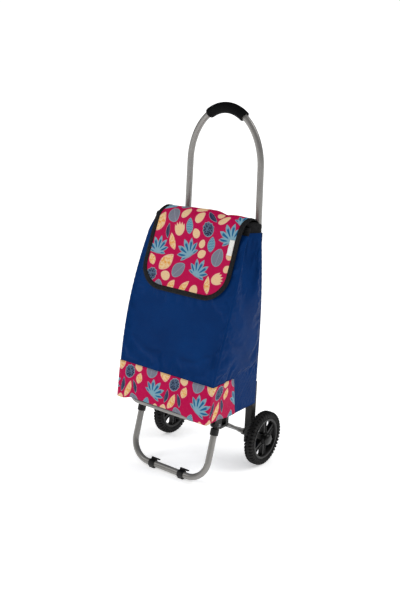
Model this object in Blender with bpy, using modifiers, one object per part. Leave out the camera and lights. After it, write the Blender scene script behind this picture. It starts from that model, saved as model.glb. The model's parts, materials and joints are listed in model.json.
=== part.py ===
"""Two-wheeled shopping trolley with a fabric bag: tubular steel frame, folding platform and foot,
lugged wheels on a through axle, and a wedge-shaped bag with a flap. Metres, +Z up, front towards -Y.

Lengths are worked out in the frame of the axle (y = 0 at the axle, z = 0 on the floor). The empty
called trolley_origin carries everything, and moves it so that the origin is under the box's centre."""
import math

import bmesh
import bpy
from mathutils import Matrix, Vector

# ---- driving dimensions -------------------------------------------------------------------------
CLEAR = 0.0003            # gap between touching pieces
WHEEL_RADIUS = 0.078
WHEEL_WIDTH = 0.026
TRACK = 0.328             # between the middles of the two tyres
TUBE_RADIUS = 0.0088      # handle, platform and foot are all one size of tube
TUBE_WALL = 0.0012
SIDE_X = 0.128            # uprights, platform arms and foot legs share this distance from the middle
HANDLE_Y = -0.015
HANDLE_TOP = 0.988        # middle of the tube at the top of the arch
ARCH_FOOT_Z = 0.833       # where the straight legs end and the arch starts
ARCH_HALF = 0.1168
GRIP_RADIUS = 0.0148
ARCH_STEPS = 18           # of the arch's half turn
GRIP_STEPS = 3            # of those steps, to each side of the top
PLATFORM_Z = 0.196
PLATFORM_FRONT = -0.245
FOOT_PIVOT = (-0.181, 0.168)     # y, z
FOOT_BAR = (-0.225, 0.0116)      # y, z of the bar on the floor
BAG_FLOOR_Z = 0.2066
BAG_TOP_Z = 0.692
BAG_WALL = 0.0016
BAND_BOTTOM_Z = 0.1985
BAND_HEIGHT = 0.100
BAND_THICK = 0.0012
FLAP_HALF = 0.145
FLAP_DROP_Z = 0.507
FLAP_CORNER = 0.052
FLAP_THICK = 0.0014
BINDING_WIDTH = 0.009
STAY_RADIUS = 0.005
AXLE_Y_IN_WORLD = 0.0945  # the axle's distance behind the middle of the whole, from front to back

# ---- worked out from them -----------------------------------------------------------------------
AXLE_Z = WHEEL_RADIUS
AXLE_RADIUS = 0.004
BRACKET_SIZE = 2 * TUBE_RADIUS + 0.0048
BRACKET_BOTTOM = AXLE_Z - 0.019
BRACKET_TOP = PLATFORM_Z + 0.049
LEG_BOTTOM = AXLE_Z + 0.020
HINGE_Y = HANDLE_Y - BRACKET_SIZE / 2 - 0.0098
ARM_REAR = HINGE_Y - 0.0108
PLATFORM_BEND = 0.040
FOOT_BEND = 0.058
TUBE_BORE = TUBE_RADIUS - TUBE_WALL
HUB_RADIUS = 0.0135
RIM_RADIUS = 0.75 * WHEEL_RADIUS
RIM_INNER = RIM_RADIUS - 0.0065
WHEEL_X = TRACK / 2
BAG_REAR_BOTTOM = HANDLE_Y - 0.013
BAG_FRONT_BOTTOM = PLATFORM_FRONT - TUBE_RADIUS - 0.0110
SNAP_X = 0.100
SNAP_RADIUS = 0.0095

SIDES = 16
TUBE_SIDES = 12
SMALL_SIDES = 12
HEAD_STEPS = 10

PARTS = None
CUTTERS = None
PIVOTS = {}


# ---- building helpers ---------------------------------------------------------------------------
def start_scene():
    """Empties the scene, and makes the collections and the empties that the pieces hang on."""
    global PARTS, CUTTERS
    for obj in list(bpy.data.objects):
        bpy.data.objects.remove(obj, do_unlink=True)
    PARTS = bpy.data.collections.new("shopping_trolley")
    CUTTERS = bpy.data.collections.new("cutters")
    bpy.context.scene.collection.children.link(PARTS)
    bpy.context.scene.collection.children.link(CUTTERS)
    origin = bpy.data.objects.new("trolley_origin", None)
    PARTS.objects.link(origin)
    origin.location = (0, AXLE_Y_IN_WORLD, 0)
    places = {
        "frame": (0, 0, 0),
        "platform": (0, HINGE_Y, PLATFORM_Z),
        "foot": (0, *FOOT_PIVOT),
        "flap": (0, *flap_point(0.0)),
        "wheel_left": (-WHEEL_X, 0, AXLE_Z),
        "wheel_right": (WHEEL_X, 0, AXLE_Z),
    }
    for name, place in places.items():
        pivot = bpy.data.objects.new(name + "_pivot", None)
        PARTS.objects.link(pivot)
        pivot.parent = origin
        pivot.location = place
        PIVOTS[name] = pivot


def material(name, colour, roughness, metallic=0.0):
    found = bpy.data.materials.get(name)
    if found:
        return found
    made = bpy.data.materials.new(name)
    made.use_nodes = True
    shader = made.node_tree.nodes["Principled BSDF"]
    shader.inputs["Base Color"].default_value = (*colour, 1)
    shader.inputs["Roughness"].default_value = roughness
    shader.inputs["Metallic"].default_value = metallic
    return made


def grey_paint():
    return material("grey_paint", (0.32, 0.32, 0.31), 0.38, 0.6)


def black_plastic():
    return material("black_plastic", (0.018, 0.018, 0.02), 0.45)


def black_rubber():
    return material("black_rubber", (0.02, 0.02, 0.02), 0.75)


def bare_steel():
    return material("bare_steel", (0.55, 0.55, 0.56), 0.3, 1.0)


def blue_fabric():
    return material("blue_fabric", (0.012, 0.07, 0.28), 0.6)


def print_fabric():
    return material("print_fabric", (0.62, 0.02, 0.12), 0.6)


def black_fabric():
    return material("black_fabric", (0.012, 0.012, 0.014), 0.8)


def add_piece(name, mesh, finish, pivot="frame", smooth=40):
    """Puts a mesh, whose points are in the axle's frame, under the empty of the body it moves with."""
    obj = bpy.data.objects.new(name, mesh)
    PARTS.objects.link(obj)
    obj.parent = PIVOTS[pivot]
    obj.location = -PIVOTS[pivot].location
    mesh.materials.clear()
    mesh.materials.append(finish)
    mesh.shade_smooth()
    mesh.set_sharp_from_angle(angle=math.radians(smooth))
    return obj


def mesh_from(bm, name):
    bmesh.ops.recalc_face_normals(bm, faces=bm.faces)
    mesh = bpy.data.meshes.new(name)
    bm.to_mesh(mesh)
    bm.free()
    return mesh


def add_cutter(name, mesh):
    obj = bpy.data.objects.new(name, mesh)
    CUTTERS.objects.link(obj)
    obj.location = (0, AXLE_Y_IN_WORLD, 0)
    obj.hide_render = True
    obj.display_type = "WIRE"
    return obj


def combine(obj, meshes, operation):
    """Joins or cuts the piece with each mesh in turn, by Boolean modifiers that stay on it."""
    for n, mesh in enumerate(meshes):
        step = obj.modifiers.new(f"{operation.lower()}_{n}", "BOOLEAN")
        step.operation = operation
        step.solver = "EXACT"
        step.object = add_cutter(f"{obj.name}_{operation.lower()}_{n}", mesh)
    return obj


def box_mesh(name, low, high, turn=None, about=(0, 0, 0)):
    bm = bmesh.new()
    bmesh.ops.create_cube(bm, size=1)
    size = Vector(high) - Vector(low)
    middle = (Vector(high) + Vector(low)) / 2
    bmesh.ops.transform(bm, matrix=Matrix.Translation(middle) @ Matrix.Diagonal((*size, 1)), verts=bm.verts)
    if turn is not None:
        back = Matrix.Translation(-Vector(about))
        bmesh.ops.transform(bm, matrix=Matrix.Translation(about) @ turn @ back, verts=bm.verts)
    return mesh_from(bm, name)


def rod_mesh(name, start, end, radius, sides=SMALL_SIDES):
    """A round bar from one point to another."""
    start, end = Vector(start), Vector(end)
    bm = bmesh.new()
    bmesh.ops.create_cone(bm, cap_ends=True, segments=sides, radius1=radius, radius2=radius,
                          depth=(end - start).length)
    turn = (end - start).to_track_quat("Z", "Y").to_matrix().to_4x4()
    bmesh.ops.transform(bm, matrix=Matrix.Translation((start + end) / 2) @ turn, verts=bm.verts)
    return mesh_from(bm, name)


def x_rod(name, y, z, x0, x1, radius, sides=SMALL_SIDES):
    return rod_mesh(name, (x0, y, z), (x1, y, z), radius, sides)


def turned_mesh(name, profile, place, steps):
    """A ring or disc on an axis along X. The profile is (radius, x) pairs that close on themselves or
    start and end on the axis, running down the outer side as x falls."""
    bm = bmesh.new()
    points = [bm.verts.new((radius, 0, along)) for radius, along in profile]
    closed = profile[0][0] > 1e-6
    for a, b in zip(points, points[1:] + (points[:1] if closed else [])):
        bm.edges.new((a, b))
    guide = bpy.data.meshes.new(name + "_profile")
    bm.to_mesh(guide)
    bm.free()
    obj = bpy.data.objects.new(name + "_profile", guide)
    CUTTERS.objects.link(obj)
    screw = obj.modifiers.new("turn", "SCREW")
    screw.axis = "Z"
    screw.steps = steps
    screw.render_steps = steps
    screw.use_merge_vertices = True
    screw.merge_threshold = 0.00005
    bpy.context.view_layer.update()
    graph = bpy.context.evaluated_depsgraph_get()
    mesh = bpy.data.meshes.new_from_object(obj.evaluated_get(graph))
    bpy.data.objects.remove(obj, do_unlink=True)
    mesh.transform(Matrix.Translation(place) @ Matrix.Rotation(math.pi / 2, 4, "Y"))
    bm = bmesh.new()
    bm.from_mesh(mesh)
    bmesh.ops.recalc_face_normals(bm, faces=bm.faces)
    bm.to_mesh(mesh)
    bm.free()
    mesh.name = name
    return mesh


def curve_mesh(name, points, radius, caps, sides=TUBE_SIDES):
    """Tube skin along points, made with a bevelled curve and turned into a mesh."""
    curve = bpy.data.curves.new(name, "CURVE")
    curve.dimensions = "3D"
    curve.bevel_depth = radius
    curve.bevel_resolution = (sides - 4) // 2
    curve.use_fill_caps = caps
    line = curve.splines.new("POLY")
    line.points.add(len(points) - 1)
    for point, place in zip(line.points, points):
        point.co = (*place, 1)
    obj = bpy.data.objects.new(name, curve)
    CUTTERS.objects.link(obj)
    bpy.context.view_layer.update()
    graph = bpy.context.evaluated_depsgraph_get()
    mesh = bpy.data.meshes.new_from_object(obj.evaluated_get(graph))
    mesh.transform(obj.matrix_world)
    bpy.data.objects.remove(obj, do_unlink=True)
    bm = bmesh.new()
    bm.from_mesh(mesh)
    bmesh.ops.remove_doubles(bm, verts=bm.verts, dist=0.00001)
    bmesh.ops.recalc_face_normals(bm, faces=bm.faces)
    bm.to_mesh(mesh)
    bm.free()
    return mesh


def hollow(obj, wall):
    """Gives an open tube or sheet its wall, on the inner side."""
    shell = obj.modifiers.new("wall", "SOLIDIFY")
    shell.thickness = wall
    shell.offset = -1
    shell.use_even_offset = True
    return obj


def pipe(name, points, radius, wall, finish, pivot="frame"):
    """Tube with open ends. A curve's skin faces out, so the wall grows inwards."""
    return hollow(add_piece(name, curve_mesh(name, points, radius, False), finish, pivot), wall)


def rounded_path(corners, radius, steps):
    """Points along straight runs between the corners, with an arc of the radius at each inner one."""
    corners = [Vector(c) for c in corners]
    path = [corners[0]]
    for before, corner, after in zip(corners, corners[1:], corners[2:]):
        back = (before - corner).normalized()
        ahead = (after - corner).normalized()
        half = back.angle(ahead) / 2
        reach = radius / math.tan(half)
        middle = corner + (back + ahead).normalized() * (radius / math.sin(half))
        first = corner + back * reach - middle
        sweep = math.pi - 2 * half
        axis = first.cross(corner + ahead * reach - middle).normalized()
        for k in range(steps + 1):
            path.append(middle + Matrix.Rotation(sweep * k / steps, 3, axis) @ first)
    return path + [corners[-1]]


def shaped_grid(name, columns, rows, place):
    """A grid whose points (u, v), each from 0 to 1, are moved to place(u, v)."""
    bm = bmesh.new()
    bmesh.ops.create_grid(bm, x_segments=columns, y_segments=rows, size=0.5)
    for vert in bm.verts:
        vert.co = place(vert.co.x + 0.5, vert.co.y + 0.5)
    mesh = bpy.data.meshes.new(name)
    bm.to_mesh(mesh)
    bm.free()
    return mesh


def mirror_name(side):
    return "left" if side < 0 else "right"


# ---- handle -------------------------------------------------------------------------------------
def arch_point(angle):
    """Point of the handle's arch, with the angle measured from its top."""
    x = ARCH_HALF * math.sin(angle)
    return Vector((x, HANDLE_Y, ARCH_FOOT_Z + (HANDLE_TOP - ARCH_FOOT_Z) * math.cos(angle)))


def make_handle():
    arch = [arch_point(-math.pi / 2 + math.pi * k / ARCH_STEPS) for k in range(ARCH_STEPS + 1)]
    left = [Vector((-SIDE_X, HANDLE_Y, z)) for z in (LEG_BOTTOM, BRACKET_TOP + 0.006)]
    right = [Vector((-p.x, p.y, p.z)) for p in reversed(left)]
    tube = pipe("handle_tube", left + arch + right, TUBE_RADIUS, TUBE_WALL, grey_paint())
    holes = [x_rod("hole", HANDLE_Y, z, side * SIDE_X - 0.02, side * SIDE_X + 0.02, 0.0028)
             for side in (-1, 1) for z in rivet_heights()]
    combine(tube, holes, "DIFFERENCE")
    wall = (GRIP_RADIUS - TUBE_RADIUS) * math.cos(math.pi / TUBE_SIDES) - CLEAR
    along = arch[ARCH_STEPS // 2 - GRIP_STEPS:ARCH_STEPS // 2 + GRIP_STEPS + 1]
    pipe("handle_grip", along, GRIP_RADIUS, wall, black_rubber())


# ---- uprights -----------------------------------------------------------------------------------
def rivet_heights():
    return (LEG_BOTTOM + 0.030, BRACKET_TOP - 0.014)


def make_rivet(name, y, z, x, grip, radius, finish, pivot="frame"):
    """A rivet along X with a domed head at each end, gripping the given thickness."""
    half = grip / 2 + CLEAR
    head = 2.0 * radius
    rise = 0.9 * radius
    profile = [(0, half + rise), (0.6 * head, half + 0.75 * rise), (head, half), (radius, half),
               (radius, -half), (head, -half), (0.6 * head, -half - 0.75 * rise), (0, -half - rise)]
    return add_piece(name, turned_mesh(name, profile, (x, y, z), HEAD_STEPS), finish, pivot)


def make_upright(side):
    """Black moulding that joins the handle's leg, the platform's hinge and the axle."""
    name = "upright_" + mirror_name(side)
    half = BRACKET_SIZE / 2
    x = side * SIDE_X
    low = (x - half, HANDLE_Y - half, BRACKET_BOTTOM)
    high = (x + half, HANDLE_Y + half, BRACKET_TOP)
    body = add_piece(name, box_mesh(name, low, high), black_plastic())
    edges = body.modifiers.new("edges", "BEVEL")
    edges.width = 0.0025
    edges.segments = 2
    edges.limit_method = "ANGLE"
    eye = 0.009
    front = HANDLE_Y - half
    ears = [
        x_rod("eye", HINGE_Y, PLATFORM_Z, x - half + 0.001, x + half - 0.001, eye, SIDES),
        box_mesh("ear", (x - half + 0.001, HINGE_Y, PLATFORM_Z - eye + 0.0004),
                 (x + half - 0.001, front + 0.002, PLATFORM_Z + eye - 0.0004)),
        x_rod("foot_boss", 0, AXLE_Z, x - half - 0.0012, x + half + 0.0012, 0.0105, SIDES),
    ]
    combine(body, ears, "UNION")
    slot = 0.0043
    cuts = [
        rod_mesh("socket", (x, HANDLE_Y, LEG_BOTTOM - 0.001), (x, HANDLE_Y, BRACKET_TOP + 0.01),
                 TUBE_RADIUS + CLEAR, SIDES),
        box_mesh("slot", (x - slot, HINGE_Y - 0.02, PLATFORM_Z - 0.02),
                 (x + slot, front - 0.0004, PLATFORM_Z + 0.02)),
        x_rod("hinge_hole", HINGE_Y, PLATFORM_Z, x - 0.02, x + 0.02, 0.0028),
        x_rod("axle_hole", 0, AXLE_Z, x - 0.02, x + 0.02, AXLE_RADIUS + CLEAR),
    ]
    cuts += [x_rod("rivet_hole", HANDLE_Y, z, x - 0.02, x + 0.02, 0.0028) for z in rivet_heights()]
    combine(body, cuts, "DIFFERENCE")
    for level, z in zip(("lower", "upper"), rivet_heights()):
        rivet = f"upright_rivet_{mirror_name(side)}_{level}"
        make_rivet(rivet, HANDLE_Y, z, x, BRACKET_SIZE, 0.0025, bare_steel())


# ---- wheels and axle ----------------------------------------------------------------------------
def make_axle():
    end = WHEEL_X + WHEEL_WIDTH / 2 + 0.0045
    rod = x_rod("axle_rod", 0, AXLE_Z, -end, end, AXLE_RADIUS, SIDES)
    add_piece("axle_rod", rod, bare_steel())
    inner = SIDE_X + BRACKET_SIZE / 2 + 0.0012 + CLEAR
    outer = WHEEL_X - WHEEL_WIDTH / 2 - 0.0015 - CLEAR
    for side in (-1, 1):
        name = "axle_spacer_" + mirror_name(side)
        bore = AXLE_RADIUS + CLEAR
        profile = [(0.0085, outer), (0.0070, inner), (bore, inner), (bore, outer)]
        if side < 0:
            profile = [(r, -x) for r, x in reversed(profile)]
        add_piece(name, turned_mesh(name, profile, (0, 0, AXLE_Z), SMALL_SIDES), black_plastic())


def make_wheel(side):
    where = mirror_name(side)
    pivot = "wheel_" + where
    middle = (side * WHEEL_X, 0, AXLE_Z)
    half = WHEEL_WIDTH / 2
    out = side
    bead = RIM_RADIUS + CLEAR
    tyre = [(WHEEL_RADIUS, 0.35 * half), (WHEEL_RADIUS, -0.35 * half), (WHEEL_RADIUS - 0.003, -0.8 * half),
            (WHEEL_RADIUS - 0.010, -half), (bead, -0.80 * half), (bead, 0.80 * half),
            (WHEEL_RADIUS - 0.010, half), (WHEEL_RADIUS - 0.003, 0.8 * half)]
    add_piece("tyre_" + where, turned_mesh("tyre", tyre, middle, 32), black_rubber(), pivot)

    rim = [(RIM_RADIUS, 0.72 * half), (RIM_RADIUS, -0.72 * half), (RIM_INNER, -0.72 * half),
           (RIM_INNER - 0.0015, 0), (RIM_INNER, 0.72 * half)]
    hub = add_piece("wheel_hub_" + where, turned_mesh("rim", rim, middle, 32), black_plastic(), pivot)
    joined = []
    spokes = 6
    for k in range(spokes):
        turn = Matrix.Rotation(2 * math.pi * k / spokes, 4, "X")
        low = (middle[0] - 0.42 * half, -0.0048, AXLE_Z + HUB_RADIUS - 0.003)
        high = (middle[0] + 0.42 * half, 0.0048, AXLE_Z + RIM_INNER + 0.002)
        joined.append(box_mesh("spoke", low, high, turn, middle))
    barrel = half + 0.0012
    joined.append(x_rod("barrel", 0, AXLE_Z, middle[0] - barrel, middle[0] + barrel, HUB_RADIUS, SIDES + 4))
    combine(hub, joined, "UNION")
    bush_radius = 0.0072
    bore = x_rod("bore", 0, AXLE_Z, middle[0] - 0.03, middle[0] + 0.03, bush_radius + CLEAR, SIDES)
    combine(hub, [bore], "DIFFERENCE")

    ring = [(bush_radius, barrel), (bush_radius, -barrel), (AXLE_RADIUS + CLEAR, -barrel),
            (AXLE_RADIUS + CLEAR, barrel)]
    name = "wheel_bush_" + where
    add_piece(name, turned_mesh(name, ring, middle, SIDES), bare_steel(), pivot)

    face = barrel + CLEAR
    nut_x = middle[0] + out * (face + 0.0016)
    nut = [(0.0075, 0.0012), (0.0085, -0.0008), (AXLE_RADIUS + CLEAR, -0.0008), (AXLE_RADIUS + CLEAR, 0.0012)]
    if out < 0:
        nut = [(r, -x) for r, x in reversed(nut)]
    name = "axle_push_nut_" + where
    add_piece(name, turned_mesh(name, nut, (nut_x, 0, AXLE_Z), SMALL_SIDES), bare_steel())

    dome = [(0, face + 0.0105), (0.007, face + 0.0098), (0.0115, face + 0.0070), (0.0135, face + 0.0030),
            (0.0135, face), (0.0102, face), (0.0102, face + 0.0052), (0, face + 0.0075)]
    if out < 0:
        dome = [(r, -x) for r, x in reversed(dome)]
    name = "hub_cap_" + where
    add_piece(name, turned_mesh(name, dome, middle, SIDES + 4), black_plastic(), pivot)


# ---- platform -----------------------------------------------------------------------------------
def make_platform():
    x = SIDE_X
    corners = [(-x, ARM_REAR, PLATFORM_Z), (-x, PLATFORM_FRONT, PLATFORM_Z),
               (x, PLATFORM_FRONT, PLATFORM_Z), (x, ARM_REAR, PLATFORM_Z)]
    path = rounded_path(corners, PLATFORM_BEND, 7)
    tube = pipe("platform_tube", path, TUBE_RADIUS, TUBE_WALL, grey_paint(), "platform")
    holes = [x_rod("hole", y, PLATFORM_Z, side * x - 0.03, side * x + 0.03, 0.0021, 10)
             for side in (-1, 1) for y in block_screws()]
    combine(tube, holes, "DIFFERENCE")


def make_arm_end(side):
    """Plug with an eye that closes the platform's arm and turns on the hinge pin."""
    where = mirror_name(side)
    name = "arm_end_" + where
    x = side * SIDE_X
    width = 0.004
    eye = x_rod(name, HINGE_Y, PLATFORM_Z, x - width, x + width, 0.0085, SIDES)
    piece = add_piece(name, eye, black_plastic(), "platform")
    tongue = box_mesh("tongue", (x - width, ARM_REAR + CLEAR, PLATFORM_Z - 0.0072),
                      (x + width, HINGE_Y, PLATFORM_Z + 0.0072))
    plug = rod_mesh("plug", (x, ARM_REAR - 0.020, PLATFORM_Z), (x, ARM_REAR + 0.0010, PLATFORM_Z),
                    TUBE_BORE - CLEAR, SIDES)
    combine(piece, [tongue, plug], "UNION")
    combine(piece, [x_rod("hole", HINGE_Y, PLATFORM_Z, x - 0.02, x + 0.02, 0.0028)], "DIFFERENCE")
    width = BRACKET_SIZE - 0.002
    make_rivet("platform_pin_" + where, HINGE_Y, PLATFORM_Z, x, width, 0.0025, bare_steel())


def block_screws():
    return (FOOT_PIVOT[0] - 0.008, FOOT_PIVOT[0] + 0.030)


def make_foot_joint(side):
    """Moulding under the platform's arm: a fork for the foot's leg, a window, and a post for the stay."""
    where = mirror_name(side)
    name = "foot_joint_" + where
    x = side * SIDE_X
    half = 0.0118
    y, z = FOOT_PIVOT
    front, rear = y - 0.0135, y + 0.043
    saddle_low = PLATFORM_Z - TUBE_RADIUS - 0.0045
    body = add_piece(name, box_mesh(name, (x - half, front, saddle_low), (x + half, rear, PLATFORM_Z)),
                     black_plastic(), "platform")
    eye = 0.0108
    post_low = z - 0.014
    joined = [
        x_rod("eye", y, z, x - half + 0.0003, x + half - 0.0003, eye, SIDES),
        box_mesh("fork", (x - half + 0.0006, y - eye + 0.0007, z + 0.0011),
                 (x + half - 0.0006, y + eye - 0.0007, saddle_low + 0.0015)),
        box_mesh("post", (x - half + 0.0009, rear - 0.012, post_low),
                 (x + half - 0.0009, rear - 0.0004, saddle_low + 0.0015)),
        box_mesh("tie", (x - half + 0.0012, y + 0.0062, post_low + 0.0004),
                 (x + half - 0.0012, rear - 0.002, post_low + 0.0070)),
    ]
    combine(body, joined, "UNION")
    slot = 0.0044
    cuts = [
        rod_mesh("saddle", (x, front - 0.01, PLATFORM_Z), (x, rear + 0.01, PLATFORM_Z), TUBE_RADIUS + CLEAR,
                 SIDES),
        box_mesh("slot", (x - slot, y - 0.02, z - 0.02), (x + slot, y + eye + 0.0008, z + eye + 0.0008)),
        x_rod("pivot_hole", y, z, x - 0.02, x + 0.02, 0.0028),
        rod_mesh("stay_socket", stay_end(side, 0.0), stay_end(side, 0.2), STAY_RADIUS + CLEAR, SMALL_SIDES),
    ]
    cuts += [x_rod("screw_hole", s, PLATFORM_Z, x - 0.03, x + 0.03, 0.0021, 10) for s in block_screws()]
    combine(body, cuts, "DIFFERENCE")
    for place, s in zip(("front", "rear"), block_screws()):
        screw = f"foot_joint_rivet_{where}_{place}"
        make_rivet(screw, s, PLATFORM_Z, x, 2 * half, 0.0018, bare_steel(), "platform")
    make_rivet("foot_pin_" + where, y, z, x, 2 * half, 0.0025, bare_steel(), "platform")


def stay_end(side, share):
    """Point on the stay's middle line: share 0 is its front end, in the post, and 1 is on the axle."""
    front = Vector((side * (SIDE_X - 0.004), FOOT_PIVOT[0] + 0.034, FOOT_PIVOT[1] - 0.006))
    back = Vector((side * SNAP_X, 0, AXLE_Z))
    return front.lerp(back, share)


def make_stay(side):
    """Thin tube from the foot joint down to the axle, with its last stretch pressed flat."""
    name = "stay_" + mirror_name(side)
    start, axle = stay_end(side, 0.0), stay_end(side, 1.0)
    line = (axle - start).normalized()
    end = axle - line * (SNAP_RADIUS + 0.0008)
    start = start + line * 0.0006
    length = (end - start).length
    bm = bmesh.new()
    bmesh.ops.create_cone(bm, cap_ends=True, segments=SMALL_SIDES, radius1=STAY_RADIUS, radius2=STAY_RADIUS,
                          depth=length)
    bmesh.ops.translate(bm, vec=(0, 0, length / 2), verts=bm.verts)
    for share in (0.62, 0.72, 0.80, 0.86):
        geometry = bm.verts[:] + bm.edges[:] + bm.faces[:]
        bmesh.ops.bisect_plane(bm, geom=geometry, plane_co=(0, 0, share * length), plane_no=(0, 0, 1))
    flat = 0.45
    wide = 1.45
    for vert in bm.verts:
        press = min(max((vert.co.z / length - 0.62) / 0.24, 0), 1)
        press = press * press * (3 - 2 * press)
        vert.co.x *= 1 + (flat - 1) * press
        vert.co.y *= 1 + (wide - 1) * press
    across = Vector((1, 0, 0))
    across = (across - line * across.dot(line)).normalized()
    up = line.cross(across)
    turn = Matrix((across, up, line)).transposed().to_4x4()
    bmesh.ops.transform(bm, matrix=Matrix.Translation(start) @ turn, verts=bm.verts)
    add_piece(name, mesh_from(bm, name), grey_paint(), "platform")


def make_stay_snap(side):
    """Black clip on the stay's flat end that snaps on the axle from the front."""
    name = "stay_snap_" + mirror_name(side)
    x = side * SNAP_X
    half = 0.0048
    disc = x_rod(name, 0, AXLE_Z, x - half, x + half, SNAP_RADIUS, SIDES + 4)
    piece = add_piece(name, disc, black_plastic(), "platform")
    leave = Vector((0, HINGE_Y, PLATFORM_Z)) - Vector((0, 0, AXLE_Z))
    away = math.atan2(leave.z, leave.y) - math.pi / 2
    turn = Matrix.Rotation(away, 4, "X")
    notch = AXLE_RADIUS + 0.0006
    mouth = box_mesh("mouth", (x - 0.02, 0, AXLE_Z - notch), (x + 0.02, 0.02, AXLE_Z + notch), turn,
                     (0, 0, AXLE_Z))
    seat = x_rod("seat", 0, AXLE_Z, x - 0.02, x + 0.02, notch, SIDES)
    combine(piece, [seat, mouth], "DIFFERENCE")


# ---- foot ---------------------------------------------------------------------------------------
def foot_line(distance):
    """Point (y, z) on the leg's middle line at a distance below the pivot."""
    pivot, bar = Vector(FOOT_PIVOT), Vector(FOOT_BAR)
    along = (bar - pivot).normalized()
    return pivot + along * distance


def make_foot():
    top = foot_line(0.0185)
    x = SIDE_X
    corners = [(-x, *top), (-x, *FOOT_BAR), (x, *FOOT_BAR), (x, *top)]
    path = rounded_path(corners, FOOT_BEND, 9)
    pipe("foot_tube", path, TUBE_RADIUS, TUBE_WALL, grey_paint(), "foot")


def make_foot_collar(side):
    """Cap on the leg's top end, with a tongue that turns in the foot joint's fork."""
    name = "foot_collar_" + mirror_name(side)
    x = side * SIDE_X
    a, b = foot_line(0.0125), foot_line(0.030)
    outer = TUBE_RADIUS + 0.0028
    cap = rod_mesh(name, (x, *a), (x, *b), outer, SIDES)
    piece = add_piece(name, cap, black_plastic(), "foot")
    y, z = FOOT_PIVOT
    lean = math.atan2(FOOT_BAR[0] - y, z - FOOT_BAR[1])
    turn = Matrix.Rotation(lean, 4, "X")
    tongue = box_mesh("tongue", (x - 0.004, y - 0.0070, z - 0.0150), (x + 0.004, y + 0.0070, z), turn,
                      (x, y, z))
    eye = x_rod("eye", y, z, x - 0.004, x + 0.004, 0.0085, SIDES)
    combine(piece, [tongue, eye], "UNION")
    c = foot_line(0.0185 - CLEAR)
    d = foot_line(0.035)
    cuts = [rod_mesh("socket", (x, *c), (x, *d), TUBE_RADIUS + CLEAR, SIDES),
            x_rod("pin_hole", y, z, x - 0.02, x + 0.02, 0.0028)]
    combine(piece, cuts, "DIFFERENCE")


def make_foot_clip(side):
    """Snap-on shoe that the foot's bar stands on, with a hooked tab at the top."""
    name = "foot_clip_" + mirror_name(side)
    y, z = FOOT_BAR
    x = side * 0.051
    half = 0.0090
    outer = z
    shoe = x_rod(name, y, z, x - half, x + half, outer - 0.0002, SIDES)
    piece = add_piece(name, shoe, black_plastic(), "foot")
    joined = [
        box_mesh("sole", (x - half, y - 0.0065, 0), (x + half, y + 0.0065, 0.004)),
        box_mesh("tab_post", (x - half, y + 0.0035, z + 0.006), (x + half, y + 0.0085, z + 0.0150)),
        box_mesh("tab", (x - half, y + 0.0035, z + 0.0128), (x + half + 0.0110, y + 0.0085, z + 0.0152)),
    ]
    combine(piece, joined, "UNION")
    bore = x_rod("bore", y, z, x - 0.03, x + 0.03, TUBE_RADIUS + CLEAR, SIDES)
    combine(piece, [bore], "DIFFERENCE")


# ---- bag ----------------------------------------------------------------------------------------
def bag_share(z):
    return (z - BAND_BOTTOM_Z) / (BAG_TOP_Z - BAND_BOTTOM_Z)


def swell(share, power):
    return math.sin(math.pi * min(max(share, 0), 1) ** power)


def bag_half(z):
    """Half of the bag's width at a height: it bellies out above its middle."""
    t = bag_share(z)
    return 0.154 + 0.003 * t + 0.014 * swell(t, 1.3)


def bag_front(z):
    t = bag_share(z)
    return BAG_FRONT_BOTTOM + (-0.1215 - BAG_FRONT_BOTTOM) * t - 0.0165 * swell(t, 0.85)


def bag_rear(z):
    t = bag_share(z)
    return BAG_REAR_BOTTOM - 0.0215 * t - 0.010 * swell(t, 1.3)


BAG_LEVELS = 7


def on_facet(shape, z):
    """Value of one of the bag's shape functions on the straight facet between its two nearest levels."""
    step = (BAG_TOP_Z - BAG_FLOOR_Z) / BAG_LEVELS
    k = min(max(math.floor((z - BAG_FLOOR_Z) / step), 0), BAG_LEVELS - 1)
    low = BAG_FLOOR_Z + k * step
    share = (z - low) / step
    return shape(low) * (1 - share) + shape(low + step) * share


def bag_box(name, low, high, levels, inset, closed_floor):
    """Upright loft with the bag's outline at each level, moved in by the inset and open at the top."""
    bm = bmesh.new()
    bmesh.ops.create_cube(bm, size=1)
    for k in range(1, levels):
        geometry = bm.verts[:] + bm.edges[:] + bm.faces[:]
        bmesh.ops.bisect_plane(bm, geom=geometry, plane_co=(0, 0, k / levels - 0.5), plane_no=(0, 0, 1))
    for vert in bm.verts:
        z = low + (high - low) * (vert.co.z + 0.5)
        x = math.copysign(on_facet(bag_half, z) - inset, vert.co.x)
        y = on_facet(bag_rear, z) - inset if vert.co.y > 0 else on_facet(bag_front, z) + inset
        vert.co = (x, y, z)
    ends = [f for f in bm.faces if abs(f.normal.z) > 0.9 and (f.calc_center_median().z > low + 1e-4
                                                             or not closed_floor)]
    bmesh.ops.delete(bm, geom=ends, context="FACES_ONLY")
    return mesh_from_open(bm, name)


def mesh_from_open(bm, name):
    """Open shells keep their faces pointing outwards."""
    for face in bm.faces:
        face.normal_update()
    mesh = bpy.data.meshes.new(name)
    bm.to_mesh(mesh)
    bm.free()
    return mesh


def make_bag():
    body = bag_box("bag_body", BAG_FLOOR_Z, BAG_TOP_Z, BAG_LEVELS, 0.0, True)
    hollow(add_piece("bag_body", body, blue_fabric()), BAG_WALL)
    inset = BAG_WALL + 0.0006
    collar = bag_box("bag_collar", BAG_TOP_Z - 0.035, BAG_TOP_Z + 0.004, 2, inset, False)
    hollow(add_piece("bag_collar", collar, black_fabric()), 0.0012)


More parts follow.
